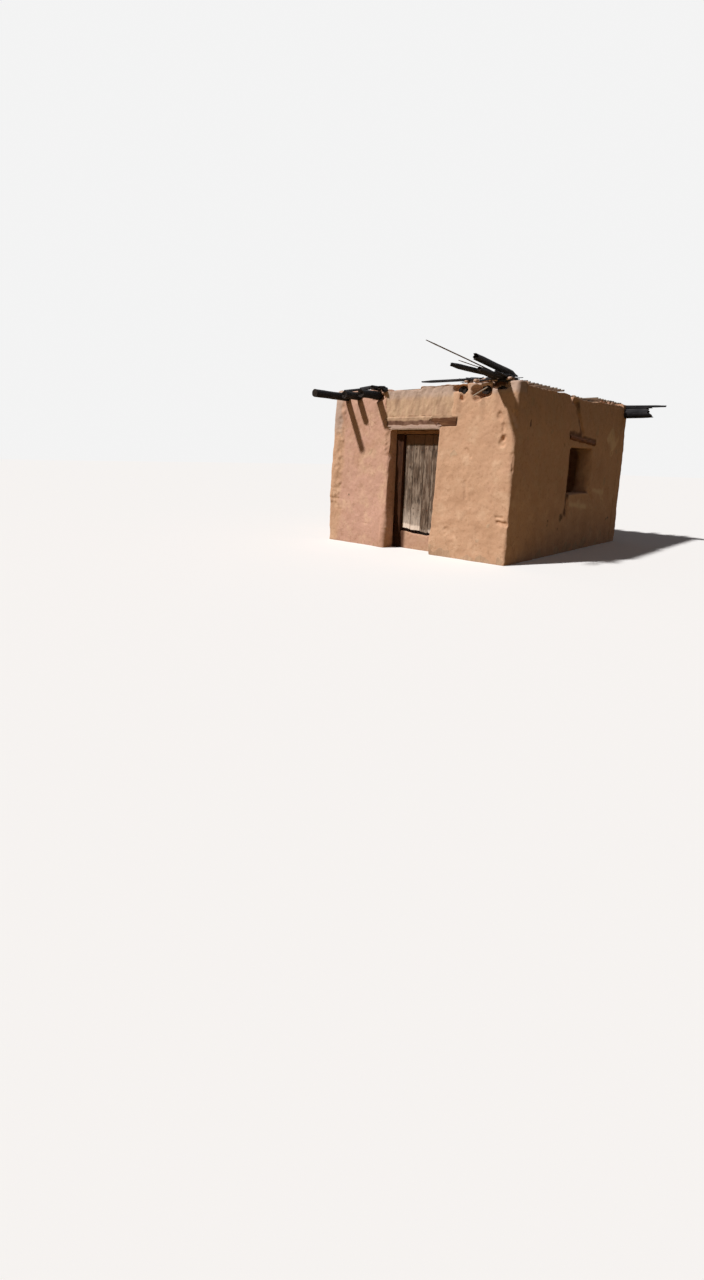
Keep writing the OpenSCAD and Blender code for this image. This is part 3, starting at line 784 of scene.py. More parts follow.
def wall(name, side, start, end, foot=0.0, head=None, corners=(False, False),
         jambs=(None, None), step=ROW):
    """A stretch of wall as a box t, z, e whose outer face leans inward, e = E - lean z - share of
    the thickness, rounded at its open edges and then sunk by the lost depth. jambs give the
    heights between which an end is open."""
    along, out, half_t, half_e, in_t, in_e = SIDES[side]
    along, out = np.array(along, float), np.array(out, float)
    cap = head or (KERB_TOP if side in ("front", "back") else WALL_TOP)
    ts = lines(start, end, step, corners[0] or bool(jambs[0]), corners[1] or bool(jambs[1]))
    first, last = math.ceil((foot + FOOT_BAND) / ROW), math.floor((cap - TOP_BAND) / ROW)
    common = np.arange(first, last + 1) * ROW
    zs = np.concatenate([lines(foot, common[0], ROW, foot > 0, False)[:-1], common[:-1],
                         lines(common[-1], cap, ROW, False, True)])
    points, faces = box_skin(ts, zs, THROUGH, ROOM_CELLS)
    t, z, share = points.T
    top = cap
    if head is None:
        # The rows over the shared ones are drawn to the worn top
        top = top_line(side, t)
        upper = common[-1]
        z = np.where(z > upper, upper + (z - upper) / (cap - upper) * (top - upper), z)
    lean = LEAN * z
    middle = (start + end) / 2
    t = t + corners[0] * lean * np.clip((middle - t) / (middle - start), 0, 1)
    t = t - corners[1] * lean * np.clip((t - middle) / (end - middle), 0, 1)
    thick = half_e - lean - in_e
    depth = share * thick
    e = half_e - lean - depth
    p = t[:, None] * along + e[:, None] * out + z[:, None] * UP

    # How far the ends show, and the room side, whose rounding fades at the house's corners
    open_ends = [1.0 if corner else open_share(z, jamb) if jamb else 0.0
                 for corner, jamb in zip(corners, jambs)]
    room = 1.0
    for corner, way in zip(corners, (-1, 1)):
        if corner:
            room = room * ramp(t, way * in_t, way * (in_t - ROOM_FADE))
    radius = EDGE_RADIUS + EDGE_DRIFT * layered(p, 0.2, 2, 47) + CORNER_MORE * (np.abs(t) > in_t)
    if side == "right":
        radius = radius + REVEAL_MORE * ramp(t, WIN_B + 0.3, WIN_B) * (t >= WIN_B - TOUCH) \
            * ramp(z, WIN_SILL, WIN_SILL + 0.1) * ramp(z, WIN_HEAD, WIN_HEAD - 0.1)
    edges = [
        (t + half_t - lean if corners[0] else t - t.min(), along, open_ends[0]),
        (half_t - lean - t if corners[1] else t.max() - t, -along, open_ends[1]),
        (depth, -out, 1.0),
        (thick - depth, out, room),
        (top - z, -UP, 1.0),
        (z - foot, UP, float(foot > 0)),
    ]
    p, towards = rounded(p, edges, radius)
    sunk = lost_depth(p) * np.where(depth > thick - TOUCH, ROOM_WEAR, 1.0)
    p = p + towards * sunk[:, None]
    p[:, 2] = np.where(points[:, 1] <= 0, 0.0, p[:, 2])
    slot = "bare_adobe" if name == "front_wall_over_door" else "mud_plaster"
    cover(name, "coat", (p, faces, coat_marks(p)), MUD, slot)


DOOR_JAMB, WINDOW_JAMB = (0.0, BOARD_LOW[2]), (WIN_SILL, WIN_HEAD)
wall("front_wall_left", "front", -HALF_X, DOOR_L, corners=(True, False), jambs=(None, DOOR_JAMB), step=0.013)
wall("front_wall_right", "front", DOOR_R, HALF_X, corners=(False, True), jambs=(DOOR_JAMB, None), step=0.013)
wall("front_wall_over_door", "front", DOOR_L, DOOR_R, foot=LINTEL_HIGH[2], step=0.010)
wall("back_wall", "back", -HALF_X, HALF_X, corners=(True, True), step=0.022)
wall("left_wall", "left", -IN_Y, IN_Y, step=0.022)
wall("right_wall_front", "right", -IN_Y, WIN_F, jambs=(None, WINDOW_JAMB))
wall("right_wall_rear", "right", WIN_B, IN_Y, jambs=(WINDOW_JAMB, None))
wall("right_wall_under_window", "right", WIN_F, WIN_B, head=WIN_SILL)
wall("right_wall_over_window", "right", WIN_F, WIN_B, foot=WIN_HEAD)


# Poles
def pole_ends(node, radius, rise=(1, -1, 1)):
    """Ends of the axis of a CAD pole from its box: each side of the box is the axis's own span
    plus 2r sqrt(1 - d^2), d being the pole's direction on that side. rise gives the signs."""
    low, high = box(node)
    size = high - low
    d = size / np.linalg.norm(size)
    for _ in range(30):
        reach = np.maximum(size - 2 * radius * np.sqrt(1 - d * d), 0)
        d = reach / np.linalg.norm(reach)
    half = reach / 2 * np.array(rise)
    return (low + high) / 2 - half, (low + high) / 2 + half


# Shares of the radius at the rings that close a pole's end
CAP = np.array([0.94, 0.66, 0.34, 0.0])


def pole(a, b, radius, seed, around=28, step=0.03, bend=0.12, knots=4, ends=("sawn", "sawn"),
         jag=0.08, point=(0.0, 0.0), worn=0.0, girth=0.865):
    """Crooked pole inside the cylinder from a to b: rings of radius R(s, v) about a wandering line,
    with lumps and knots. A broken end has splinters, s - jag(1 - h(v)), round a sunken middle, and
    a pointed one narrows by that share."""
    a, b = np.array(a, float), np.array(b, float)
    length = np.linalg.norm(b - a)
    ahead = (b - a) / length
    side = np.cross(ahead, UP)
    side /= np.linalg.norm(side)
    up = np.cross(side, ahead)
    s = lines(0.0, length, step)
    q = np.concatenate([CAP[::-1], np.ones(len(s)), CAP])
    s = np.concatenate([0 * CAP, s, 0 * CAP + length])
    s, v = np.meshgrid(s, np.arange(around) * 2 * math.pi / around, indexing="ij")
    q = np.broadcast_to(q[:, None], s.shape)
    ring = np.stack([np.cos(v), np.sin(v), 0 * v], -1)
    spot = ring * radius + np.stack([0 * s, 0 * s, s * 0.35], -1) + seed * 1.31
    lumps = 0.07 * layered(spot, radius * 1.6, 3, seed) + 0.03 * layered(spot, radius * 0.4, 2, seed + 5)
    wide = girth + lumps
    # Knots, each with a dent in its middle
    draw = np.random.default_rng(seed)
    for _ in range(knots):
        at = draw.uniform(0.08, 0.92) * length
        turn = draw.uniform(0, 2 * math.pi)
        swell = draw.uniform(0.4, 1)
        gone = np.hypot(s - at, radius * np.angle(np.exp(1j * (v - turn))))
        wide = wide + 0.13 * swell * ramp(gone, radius * 0.75, 0.0) - 0.10 * ramp(gone, radius * 0.2, 0.0)
    # Ends, narrowed and then splintered or sawn a little askew
    for n, (kind, from_end) in enumerate(zip(ends, (s, length - s))):
        wide = wide * (1 - point[n] * ramp(from_end, min(0.3, length * 0.4), 0.0))
        if kind == "broken":
            tooth = 0.5 + 0.7 * layered(ring + seed + n, 0.9, 3, seed + 11 + n)
            lost = jag * (1 - np.clip(tooth, 0, 1)) * ramp(from_end, 2.2 * jag, 0.0)
            lost = lost + jag * 0.7 * (1 - q) * (from_end < TOUCH)
        else:
            lost = 0.006 * (1 + noise(ring + seed + n, 0.8, seed + 17)) * ramp(from_end, 0.05, 0.0)
        s = s + lost * (1 if n == 0 else -1)
    # The axis wanders by the share of the radius that bend gives, and the pole is thinner by it
    slow = np.stack([0 * s[:, 0], 0 * s[:, 0] + seed, s[:, 0]], -1)
    sway, sag = (bend * radius * noise(slow, size, seed + more)[:, None]
                 for size, more in ((0.8, 23), (0.65, 29)))
    r = radius * np.minimum(wide, 1 - bend) * q
    points = a + s[..., None] * ahead + (r * np.cos(v) + sway)[..., None] * side \
        + (r * np.sin(v) + sag)[..., None] * up
    used, faces = closed_form(s.shape)
    grain = np.stack([r * np.cos(v), r * np.sin(v), s], -1) + np.array([0, 0, seed * 3.7])
    broken = ramp(np.minimum(s, length - s), jag * 0.8, 0.0) * ("broken" in ends)
    marks = {"grain": grain.reshape(-1, 3)[used], "cut": (q < 0.999).astype(float).ravel()[used],
             "worn": np.clip(worn + 0.5 * broken, 0, 1).ravel()[used]}
    return points.reshape(-1, 3)[used], faces, marks


VIGA_R = (box("viga_5")[1][2] - box("viga_5")[0][2]) / 2
for seed, viga in enumerate(VIGAS, VIGA_SEED):
    front, back = pole_ends(viga, VIGA_R)[::-1]
    stands_out = front[1] < -HALF_Y
    front_end = "sawn" if stands_out and viga not in ("viga_2", "viga_3") else "broken"
    cover(viga, "pole", pole(front, back, VIGA_R, seed, around=30, step=0.035, bend=0.10, knots=5,
                             ends=(front_end, "sawn"), jag=0.05 if stands_out else 0.03),
          DARK_POLE, "dark_poles")

BAY_POLES = 10
for bay_number, bay in enumerate(("latillas_front", "latillas_middle", "latillas_rear")):
    low, high = box(bay)
    r, z = (high[2] - low[2]) / 2, (low[2] + high[2]) / 2
    cover(bay, "rods", joined([
        pole((low[0], y, z), (high[0], y, z), r, ROD_SEED + BAY_POLES * bay_number + n, around=11,
             step=0.07, bend=0.3, knots=3, point=(0.25 * (n % 2), 0.25 * ((n + 1) % 2)))
        for n, y in enumerate(np.linspace(low[1] + r, high[1] - r, BAY_POLES))]), GREY_STICK, "dark_poles")

# Loose poles: radius, signs of their rise, finish and shape
BROKEN = ("broken", "broken")
LOOSE = {
    "loose_pole_long": (0.040, (1, -1, 1), DARK_POLE, dict(
        around=40, step=0.02, bend=0.2, knots=7, ends=("sawn", "broken"), jag=0.07, point=(0.1, 0.35))),
    "loose_pole_thick": (0.050, (1, -1, 1), DARK_POLE, dict(
        around=44, step=0.018, bend=0.16, knots=5, ends=BROKEN, jag=0.13, point=(0.55, 0.1))),
    "loose_pole_prop": (0.032, (1, 1, 1), DARK_POLE, dict(around=24, step=0.015, bend=0.1, knots=2)),
    "loose_stick_thin": (0.012, (-1, -1, 1), GREY_STICK, dict(
        around=14, step=0.02, bend=0.35, knots=6, point=(0.0, 0.5), worn=0.4)),
    "loose_stick_flat": (0.024, (-1, 1, 1), DARK_POLE, dict(
        around=18, step=0.015, bend=0.2, knots=6, ends=BROKEN, jag=0.05, point=(0.1, 0.45))),
    "stub_pole_left": (0.040, (1, -1, 1), DARK_POLE, dict(
        around=36, step=0.015, bend=0.1, knots=2, ends=BROKEN, jag=0.04)),
    "rear_pole_thick": (0.086, (1, 1, 1), DARK_POLE, dict(
        around=40, step=0.02, bend=0.03, ends=("sawn", "broken"), jag=0.20, point=(0.0, 0.1), girth=1.03)),
    "rear_pole_thin": (0.026, (1, 1, -1), DARK_POLE, dict(
        around=20, step=0.02, bend=0.25, knots=7, point=(0.0, 0.35))),
    "window_log": (0.050, (1, 1, -1), LOG_TIMBER, dict(around=40, step=0.015, bend=0.14, knots=5, jag=0.03)),
}
for seed, (node, (r, rise, finish, shape)) in enumerate(LOOSE.items(), LOOSE_SEED):
    cover(node, "wood", pole(*pole_ends(node, r, rise), r, seed, **shape), finish,
          "brown_timber" if node == "window_log" else "dark_poles")


# Squared timber
def timber(low, high, along, seed, step=0.022, cross=0.014, radius=0.010, hewn=0.004, feet=None,
           worn=0.0, foot_worn=0.0):
    """Squared timber: a box rounded at its edges, its sides sunk by long fibres and by the hollows
    that an adze leaves. feet gives the height of the lower end at each side, before it frayed, and
    bleaches the wood near it."""
    low, high = np.array(low), np.array(high)
    size = high - low
    order = [along] + [n for n in range(3) if n != along]
    local, faces = box_skin(*(lines(0.0, size[n], step if n == along else cross) for n in order))
    p = np.empty_like(local)
    p[:, order] = local
    grain = p[:, [order[1], order[2], along]] + np.array([0, 0, seed * 3.7])
    start = np.zeros(len(p))
    if feet is not None:
        fray = 0.030 * layered(np.stack([p[:, 0] * 2.5, 0 * start, 0 * start + seed], -1), 0.07, 3, seed)
        start = np.interp(p[:, 0], [0, size[0]], feet) + np.abs(fray) + 0.004
        p[:, 2] = start + p[:, 2] / size[2] * (size[2] - start)
    edges = []
    for n, inward in enumerate(np.eye(3)):
        edges += [(p[:, n] - (start if n == along else 0), inward, 1.0), (size[n] - p[:, n], -inward, 1.0)]
    end_face = np.minimum(edges[2 * along][0], edges[2 * along + 1][0]) < TOUCH
    # Wear all over and near the foot; what has feet gets a lighter, redder band at its upper end, painted
    # light in the shade under the lintel
    above = p[:, along] - start
    wear_and_top_light = worn + foot_worn * (ramp(above, 0.090, 0.035) + 0.50 * ramp(above, 0.85, 0.02))
    if feet is not None:
        wear_and_top_light = wear_and_top_light - ramp(size[along] - p[:, along], 0.19, 0.11)
    q, towards = rounded(p, edges, radius)
    drawn = grain * np.array([1, 1, 0.1])
    depth = hewn * (0.5 + 0.5 * layered(drawn, 0.03, 3, seed))
    depth = depth + hewn * 0.8 * ramp(noise(grain * np.array([1, 1, 0.8]), 0.11, seed + 3), -0.2, 0.5)
    depth = depth + hewn * 1.2 * ramp(noise(drawn, 0.045, seed + 5), 0.55, 0.75)
    marks = {"grain": grain, "cut": end_face.astype(float), "worn": wear_and_top_light}
    return q + towards * depth[:, None] + low, faces, marks


for seed, (node, along, finish, slot, shape) in enumerate((
        ("lintel_outer", 0, BROWN_TIMBER, "brown_timber", dict(radius=0.014, hewn=0.005)),
        ("lintel_inner", 0, BROWN_TIMBER, "brown_timber", dict(radius=0.014, hewn=0.005)),
        ("window_beam", 1, BROWN_TIMBER, "brown_timber", dict(radius=0.012)),
        ("head_board", 0, PALE_BOARD, "pale_timber", dict(cross=0.01, radius=0.007, hewn=0.003)),
        ("door_post_left", 2, PAINTED_SHADE_FRAME, "brown_timber", {}),
        ("door_post_right", 2, PAINTED_SHADE_FRAME, "brown_timber", {}),
        ("door_head", 0, PAINTED_LIGHT_HEAD_TIMBER, "brown_timber", {})), TIMBER_SEED):
    cover(node, "wood", timber(*box(node), along, seed, **shape), finish, slot)

# Door: heights of each plank's foot at its two sides, and its wear all over and near the foot
PLANKS = {
    "door_plank_1": ((0.084, 0.068), 0.0, 1.0),
    "door_plank_2": ((0.060, 0.060), 0.10, 0.75),
    "door_plank_3": ((0.046, 0.036), -0.25, 0.4),
    "door_plank_4": ((0.034, 0.052), 0.06, 0.35),
}
for seed, (node, (feet, worn, foot_worn)) in enumerate(PLANKS.items(), PLANK_SEED):
    low, high = box(node)
    low[2] = SILL_Z
    cover(node, "wood", timber(low, high, 2, seed, step=0.02, cross=0.008, radius=0.004, hewn=0.0022,
                               feet=feet, worn=worn, foot_worn=foot_worn), GREY_PLANK, "grey_planks", "door")
# Height of a ledge, and of the lower edges of both
LEDGE_H = 0.095
LEDGES_LOW, LEDGES_HIGH = box("door_ledges")
LEDGE_Z = [LEDGES_LOW[2], LEDGES_HIGH[2] - LEDGE_H]
cover("door_ledges", "wood", joined([
    timber([*LEDGES_LOW[:2], z], [*LEDGES_HIGH[:2], z + LEDGE_H], 0, seed, step=0.02, cross=0.01,
           radius=0.006, hewn=0.003)
    for seed, z in enumerate(LEDGE_Z, LEDGE_SEED)]), GREY_PLANK, "grey_planks", "door")


def nail_head(x, y, z, radius=0.008, high=0.0035, around=18):
    """Hammered nail head facing the front: rings of a flattened dome, r = R sin u, h = H cos u."""
    u = np.linspace(0, math.pi / 2, 6)[1:]
    v = np.arange(around) * 2 * math.pi / around
    beaten = 1 + 0.08 * np.cos(3 * v + 40 * x)
    r = np.concatenate([radius * np.sin(u), [radius]])[:, None] * beaten
    h = np.concatenate([high * np.cos(u), [-high]])[:, None] + 0 * v
    rings = np.stack([x + r * np.cos(v), y - h, z + r * np.sin(v)], -1).reshape(-1, 3)
    points = np.concatenate([rings, [[x, y - high, z], [x, y + high, z]]])
    ids = closed_rings(np.arange(r.size).reshape(r.shape))
    faces = [sheet_of(ids), fan(r.size, ids[0]), fan(r.size + 1, ids[-1], True)]
    return points, faces, {}


nails = []
for low, high in map(box, PLANKS):
    for z in LEDGE_Z:
        for across, lift in ((0.22, 0.62), (0.78, 0.38)):
            nails.append(nail_head(low[0] + across * (high[0] - low[0]), low[1], z + lift * LEDGE_H))
piece("door_nails", joined(nails), RUST, "door")
for node in ("hinge_pin_lower", "hinge_pin_upper", "hinge_strap_lower", "hinge_strap_upper"):
    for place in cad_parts[node].material_slots:
        place.material = RUST


# Mud round the doorway and on the roof
def mud_marks(p, tone, bare, stain_and_shade=0.0, dust_and_highlight=0.0):
    """Marks of the mud finish over the points, each a number or one number a point."""
    given = {"tone": tone, "bare": bare, "stain_and_shade": stain_and_shade, "dust_and_highlight": dust_and_highlight}
    return {key: np.zeros(len(p)) + value for key, value in given.items()}


def lintel_daub():
    """Thin skin of mud over the left of the lintel: a sheet whose face stands at the wall's where
    the skin is left and sinks behind the timber past its ragged edge."""
    cell, thickness = 0.006, 0.012
    x, z = np.meshgrid(np.arange(LINTEL_LOW[0], LINTEL_HIGH[0], cell),
                       np.arange(BOARD_HIGH[2] - 0.022, LINTEL_HIGH[2] + 0.034, cell), indexing="ij")
    spot = np.stack([x, 0 * x, z], -1)
    # The share that is left: its right edge slants, holes show the timber, and its foot lies on
    # the head board only
    edge = 0.10 * layered(spot, 0.16, 3, 61) + 0.03 * layered(spot, 0.03, 2, 63)
    left = ramp(0.44 - 0.5 * (z - LINTEL_LOW[2]) - x + edge * 1.4, 0.0, 0.012)
    low_edge = ramp(z, LINTEL_LOW[2] + 0.02, LINTEL_LOW[2] + 0.05)
    left = left * (1 - ramp(layered(spot, 0.11, 3, 65), 0.30, 0.38) * low_edge)
    on_board = ramp(x, BOARD_LOW[0] + 0.01, BOARD_LOW[0] + 0.03)
    on_board = on_board * ramp(x, BOARD_HIGH[0] - 0.01, BOARD_HIGH[0] - 0.03)
    left = np.where(z < LINTEL_LOW[2] + 0.003, on_board * ramp(left, 0.0, 0.5), left)
    # Its face: flush with the wall, down to the head board below, and rolled in over the lintel
    down = ramp(z, LINTEL_LOW[2] + 0.012, BOARD_HIGH[2] - 0.02)
    proud = 0.0035 + 0.004 * layered(spot, 0.07, 3, 67)
    front = np.minimum(-face_y(z) + 0.006 - proud, LINTEL_LOW[1] - 0.002 - proud)
    front = front * (1 - down) + (BOARD_LOW[1] - 0.003) * down
    front = front + 0.030 * ramp(z, LINTEL_HIGH[2] + 0.004, LINTEL_HIGH[2] + 0.032)
    y = front * left + (LINTEL_LOW[1] + 0.012 + (BOARD_LOW[1] - LINTEL_LOW[1]) * down) * (1 - left)
    points = np.stack([np.stack([x, y, z], -1), np.stack([x, y + thickness, z], -1)], 2)
    ids = np.arange(x.size * 2).reshape(points.shape[:3])
    points = points.reshape(-1, 3)
    # Its marks go by the height over the lintel's lower edge
    up = (points[:, 2] - LINTEL_LOW[2]) / (LINTEL_HIGH[2] - LINTEL_LOW[2])
    up = up + 0.12 * layered(points, 0.09, 3, 69)
    # Darker above its foot and a little less near the bare top, by height alone
    darker_above_foot = 0.04 + ramp(up, 0.14, 0.24) * (0.64 - 0.36 * ramp(up, 0.62, 0.80))
    darker_above_foot = darker_above_foot + 0.13 * layered(points, 0.05, 2, 68)
    marks = mud_marks(points, tone=0.35, bare=ramp(up, 0.62, 0.80), stain_and_shade=darker_above_foot,
                      dust_and_highlight=0.9 * ramp(up, 0.24, 0.14))
    piece("lintel_daub", (points, five_sides(ids) + [sheet_of(ids[..., 1])], marks), MUD)


lintel_daub()


def door_sill():
    """Mud sill of the doorway, its top trodden hollow and its edges worn round."""
    low, high = box("door_sill")
    points, faces = box_skin(*(lines(low[n], high[n], 0.012) for n in (0, 2, 1)))
    p = points[:, [0, 2, 1]]
    tread = 0.022 * ramp(np.abs(p[:, 0] - (low[0] + high[0]) / 2), 0.42, 0.1) * ramp(p[:, 2], 0.1, SILL_Z)
    p[:, 2] -= tread
    swept = 0.050 * ramp(p[:, 1], low[1] + 0.040, low[1] + 0.012) * ramp(p[:, 2], 0.1, SILL_Z)
    swept = swept * (1 + 0.5 * layered(p, 0.2, 2, 73))
    p[:, 2] += swept
    back = np.array([0, 1.0, 0])
    edges = [(high[2] - (tread - swept) - p[:, 2], -UP, 1.0), (p[:, 1] - low[1], back, 1.0),
             (high[1] - p[:, 1], -back, 1.0)]
    p, towards = rounded(p, edges, 0.035)
    p = p + towards * (0.006 + 0.009 * np.abs(layered(p, 0.1, 3, 71)))[:, None]
    # Stain all over, and painted shade at the left end, where the jamb's shadow falls
    stain_and_left_shade = 0.25 + 0.55 * ramp(p[:, 0], low[0] + 0.13, low[0] + 0.04)
    marks = mud_marks(p, tone=0.6, bare=0.25, stain_and_shade=stain_and_left_shade, dust_and_highlight=0.3)
    cover("door_sill", "mud", (p, faces, marks), MUD, "mud_plaster")


door_sill()

# Wandering edge of the roof's earth, in millimetres on a house of the half width and half depth
# given after it, and the share of it that the crown takes
EARTH_EDGE = np.array([
    (-1380, -1640), (-900, -1690), (-420, -1620), (60, -1680), (520, -1610), (860, -1560), (1020, -1330),
    (1250, -1120), (1340, -760), (1220, -380), (1240, 120), (1390, 560), (1420, 1180), (1360, 1620),
    (720, 1700), (-60, 1650), (-760, 1710), (-1390, 1640), (-1450, 900), (-1400, 100), (-1460, -820),
]) / np.array([1840, 2260]) * np.array([HALF_X, HALF_Y])
CROWN_SHARE = 0.78
# How far the mound stays inside that edge, and how far its rags reach to either side
EARTH_INSET, EARTH_RAG = 0.02, 0.035
EARTH_BASE = box("earth_roof")[0][2]


def edge_distance(edge, angle):
    """Distance from the middle to a closed outline in each direction."""
    closed = np.vstack([edge, edge[:1]])
    corner_angle = np.unwrap(np.arctan2(closed[:, 1], closed[:, 0]))
    along = (angle - corner_angle[0]) % (2 * math.pi)
    k = np.clip(np.searchsorted(corner_angle - corner_angle[0], along, "right") - 1, 0, len(edge) - 1)
    a, b = closed[k], closed[k + 1]
    ray, d = np.stack([np.cos(angle), np.sin(angle)], -1), b - a
    cross = ray[:, 0] * d[:, 1] - ray[:, 1] * d[:, 0]
    return (a[:, 0] * d[:, 1] - a[:, 1] * d[:, 0]) / cross


def roof_mound():
    """Packed earth as a low mound in rings round the middle: it climbs from a crumbled edge to the
    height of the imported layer, and on to the crown."""
    full = box("earth_crown")[1][2] - EARTH_BASE
    around = 420
    angle = np.arange(around) * 2 * math.pi / around
    share = np.concatenate([np.linspace(0, 0.90, 74)[1:], np.linspace(0.90, 1.0, 22)[1:]])[:, None]
    rag = EARTH_RAG * layered(np.stack([np.cos(angle), np.sin(angle), 0 * angle], -1), 0.12, 3, 81)
    r = share * (edge_distance(EARTH_EDGE, angle) - EARTH_INSET + rag - EARTH_RAG)
    x, y = r * np.cos(angle), r * np.sin(angle)
    spot = np.stack([x, y, 0 * x], -1)
    slow, fine = layered(spot, 0.5, 3, 83), layered(spot, 0.09, 3, 85)
    climb = ramp(share + 0.03 * fine, 1.0, 0.90)
    crown = ramp(share + 0.12 * slow, CROWN_SHARE, CROWN_SHARE - 0.3)
    h = climb * (0.036 + 0.006 * slow + 0.005 * fine) + crown * (full - 0.052) + 0.003
    h = np.clip(h, 0.002, full - 0.001)
    h[-1] = 0.0
    top = np.stack([x, y, EARTH_BASE + h], -1).reshape(-1, 3)
    points = np.concatenate([top, [[0, 0, EARTH_BASE], [0, 0, EARTH_BASE + h[0].mean()]]])
    ids = closed_rings(np.arange(x.size).reshape(x.shape))
    faces = [sheet_of(ids), fan(x.size + 1, ids[0]), fan(x.size, ids[-1], True)]
    piece("roof_mound", (points, faces, mud_marks(points, tone=0.5, bare=0.3)), EARTH,
          replaces=("earth_roof", "earth_crown"))


roof_mound()


def lump(centre, size, seed, count):
    """Clod of mud: a ball u, v whose radius wanders by a noise of its direction."""
    u = np.linspace(0, math.pi, count)
    v = np.arange(2 * count) * math.pi / count
    u, v = np.meshgrid(u, v, indexing="ij")
    ring = np.stack([np.sin(u) * np.cos(v), np.sin(u) * np.sin(v), np.cos(u)], -1)
    r = 0.85 + 0.3 * layered(ring + seed, 0.9, 3, seed)
    used, faces = closed_form(u.shape)
    points = (np.array(centre) + ring * r[..., None] * np.array(size)).reshape(-1, 3)[used]
    return points, faces, mud_marks(points, tone=0.6, bare=0.3, stain_and_shade=0.1, dust_and_highlight=0.6)


# How many clods and twigs are strewn on the kerb, and crumbs on the roof
CLOD_COUNT, TWIG_COUNT, CRUMB_COUNT = 44, 46, 30
# How far they stay inside the right side of the footprint
KEPT_IN = 0.16
# Clods on the right wall's top: place along it, size
WALL_CLODS = ((0.98, 0.034), (1.10, 0.042), (1.19, 0.026), (1.34, 0.038), (1.52, 0.03))


def mud_clods():
    """Clods of mud that lie on the kerb of the near corner, closest where the coat broke out."""
    draw = np.random.default_rng(7)
    made = []
    for n in range(CLOD_COUNT):
        x = draw.uniform(0.96, 1.34) if n % 2 else draw.uniform(0.84, 1.64)
        size = draw.uniform(0.016, 0.048)
        y = draw.uniform(-2.14, -1.97)
        made.append(lump((x, y, KERB_TOP + 0.15 * size), (size * 1.3, size, size * 0.75), n, count=18))
    for seed, (y, size) in enumerate(WALL_CLODS, WALL_CLOD_SEED):
        x = HALF_X - KEPT_IN - 0.5 * size
        made.append(lump((x, y, WALL_TOP), (size, size * 1.4, size * 0.8), seed, count=18))
    return made


def earth_clods():
    """Crumbs along the ragged edge of the roof's earth."""
    draw = np.random.default_rng(8)
    made = []
    for seed in range(CRUMB_SEED, CRUMB_SEED + CRUMB_COUNT):
        angle = draw.uniform(0, 2 * math.pi)
        reach = edge_distance(EARTH_EDGE, np.array([angle]))[0] + draw.uniform(-0.12, 0.02)
        size = draw.uniform(0.012, 0.035)
        centre = (reach * math.cos(angle), reach * math.sin(angle), EARTH_BASE + 0.3 * size)
        made.append(lump(centre, (size * 1.3, size, size * 0.6), seed, count=14))
    return made


piece("kerb_clods", joined(mud_clods()), MUD)
piece("roof_clods", joined(earth_clods()), EARTH)


def corner_twigs():
    """Twigs strewn on the kerb of the near corner, at random turns, but for those that would end
    too near its outer side."""
    draw = np.random.default_rng(9)
    made = []
    for n in range(TWIG_COUNT):
        x, y = draw.uniform(0.95, 1.58), draw.uniform(-2.14, -1.98)
        turn, length = draw.uniform(-0.7, 0.7) + math.pi * (n % 2), draw.uniform(0.12, 0.4)
        start = np.array([x, y, KERB_TOP + draw.uniform(0.0, 0.035)])
        rise = draw.uniform(-0.015, 0.03)
        end = start + np.array([length * math.cos(turn), 0.35 * length * math.sin(turn), rise])
        if end[0] < HALF_X - KEPT_IN:
            r = draw.uniform(0.004, 0.008)
            made.append(pole(start, end, r, TWIG_SEED + n, around=7, step=0.04, bend=0.3, knots=1))
    return made


# Small bleached sticks, and dark ones at the near corner, over the left poles and between the
# rear ones: from, to, radius
PALE_STICKS = [
    ((1.02, -2.178, 2.355), (1.25, -2.178, 2.462), 0.015),
    ((1.40, -2.72, 2.648), (1.385, -3.18, 2.675), 0.008),
]
DARK_STICKS = [
    ((1.449, -2.08, 2.594), (1.490, -2.86, 2.600), 0.044),
    ((1.50, -2.05, 2.59), (1.525, -2.50, 2.62), 0.017),
    ((1.312, -2.11, 2.590), (1.366, -2.53, 2.602), 0.043),
    ((1.56, -2.03, 2.585), (1.30, -2.22, 2.60), 0.014),
    ((1.20, -2.17, 2.575), (1.48, -2.20, 2.600), 0.018),
    ((1.10, -2.175, 2.55), (1.42, -2.19, 2.575), 0.016),
    ((1.53, -2.06, 2.60), (1.40, -2.34, 2.61), 0.022),
    ((1.36, -2.115, 2.548), (1.58, -2.095, 2.556), 0.032),
    ((1.38, -2.06, 2.585), (1.60, -2.07, 2.585), 0.028),
    ((-1.50, -2.235, 2.536), (-0.90, -2.230, 2.546), 0.026),
    ((-1.16, -2.20, 2.556), (-0.84, -2.225, 2.566), 0.036),
    ((-0.70, -2.11, 2.562), (-0.70, -2.27, 2.548), 0.036),
    ((-0.645, -2.12, 2.505), (-0.645, -2.24, 2.500), 0.036),
    ((1.58, 2.04, 2.478), (2.21, 2.04, 2.468), 0.026),
]
dark_sticks = [pole(*stick, seed, around=14, step=0.02, bend=0.25, knots=3, ends=("sawn", "broken"),
                    jag=0.04, point=(0.0, 0.25))
               for seed, stick in enumerate(DARK_STICKS, DARK_STICK_SEED)]
pale_sticks = [pole(*stick, seed, around=10, step=0.02, bend=0.3, knots=3, worn=0.6, point=(0.0, 0.4))
               for seed, stick in enumerate(PALE_STICKS, PALE_STICK_SEED)]
piece("roof_twigs", joined(corner_twigs() + dark_sticks), DARK_POLE)
piece("pale_sticks", joined(pale_sticks), GREY_STICK)

# Studio
KEY_TRAVEL, KEY_SPREAD = (0.55, 1.0, -1.16), math.radians(3.0)
KEY_STRENGTH, KEY_COLOUR = 4.0, (1.0, 0.975, 0.95)
FILL_STRENGTH, FILL_COLOUR = 0.084, (1.0, 0.92, 0.94, 1)
BACKGROUND = (0.9, 0.9, 0.9, 1)
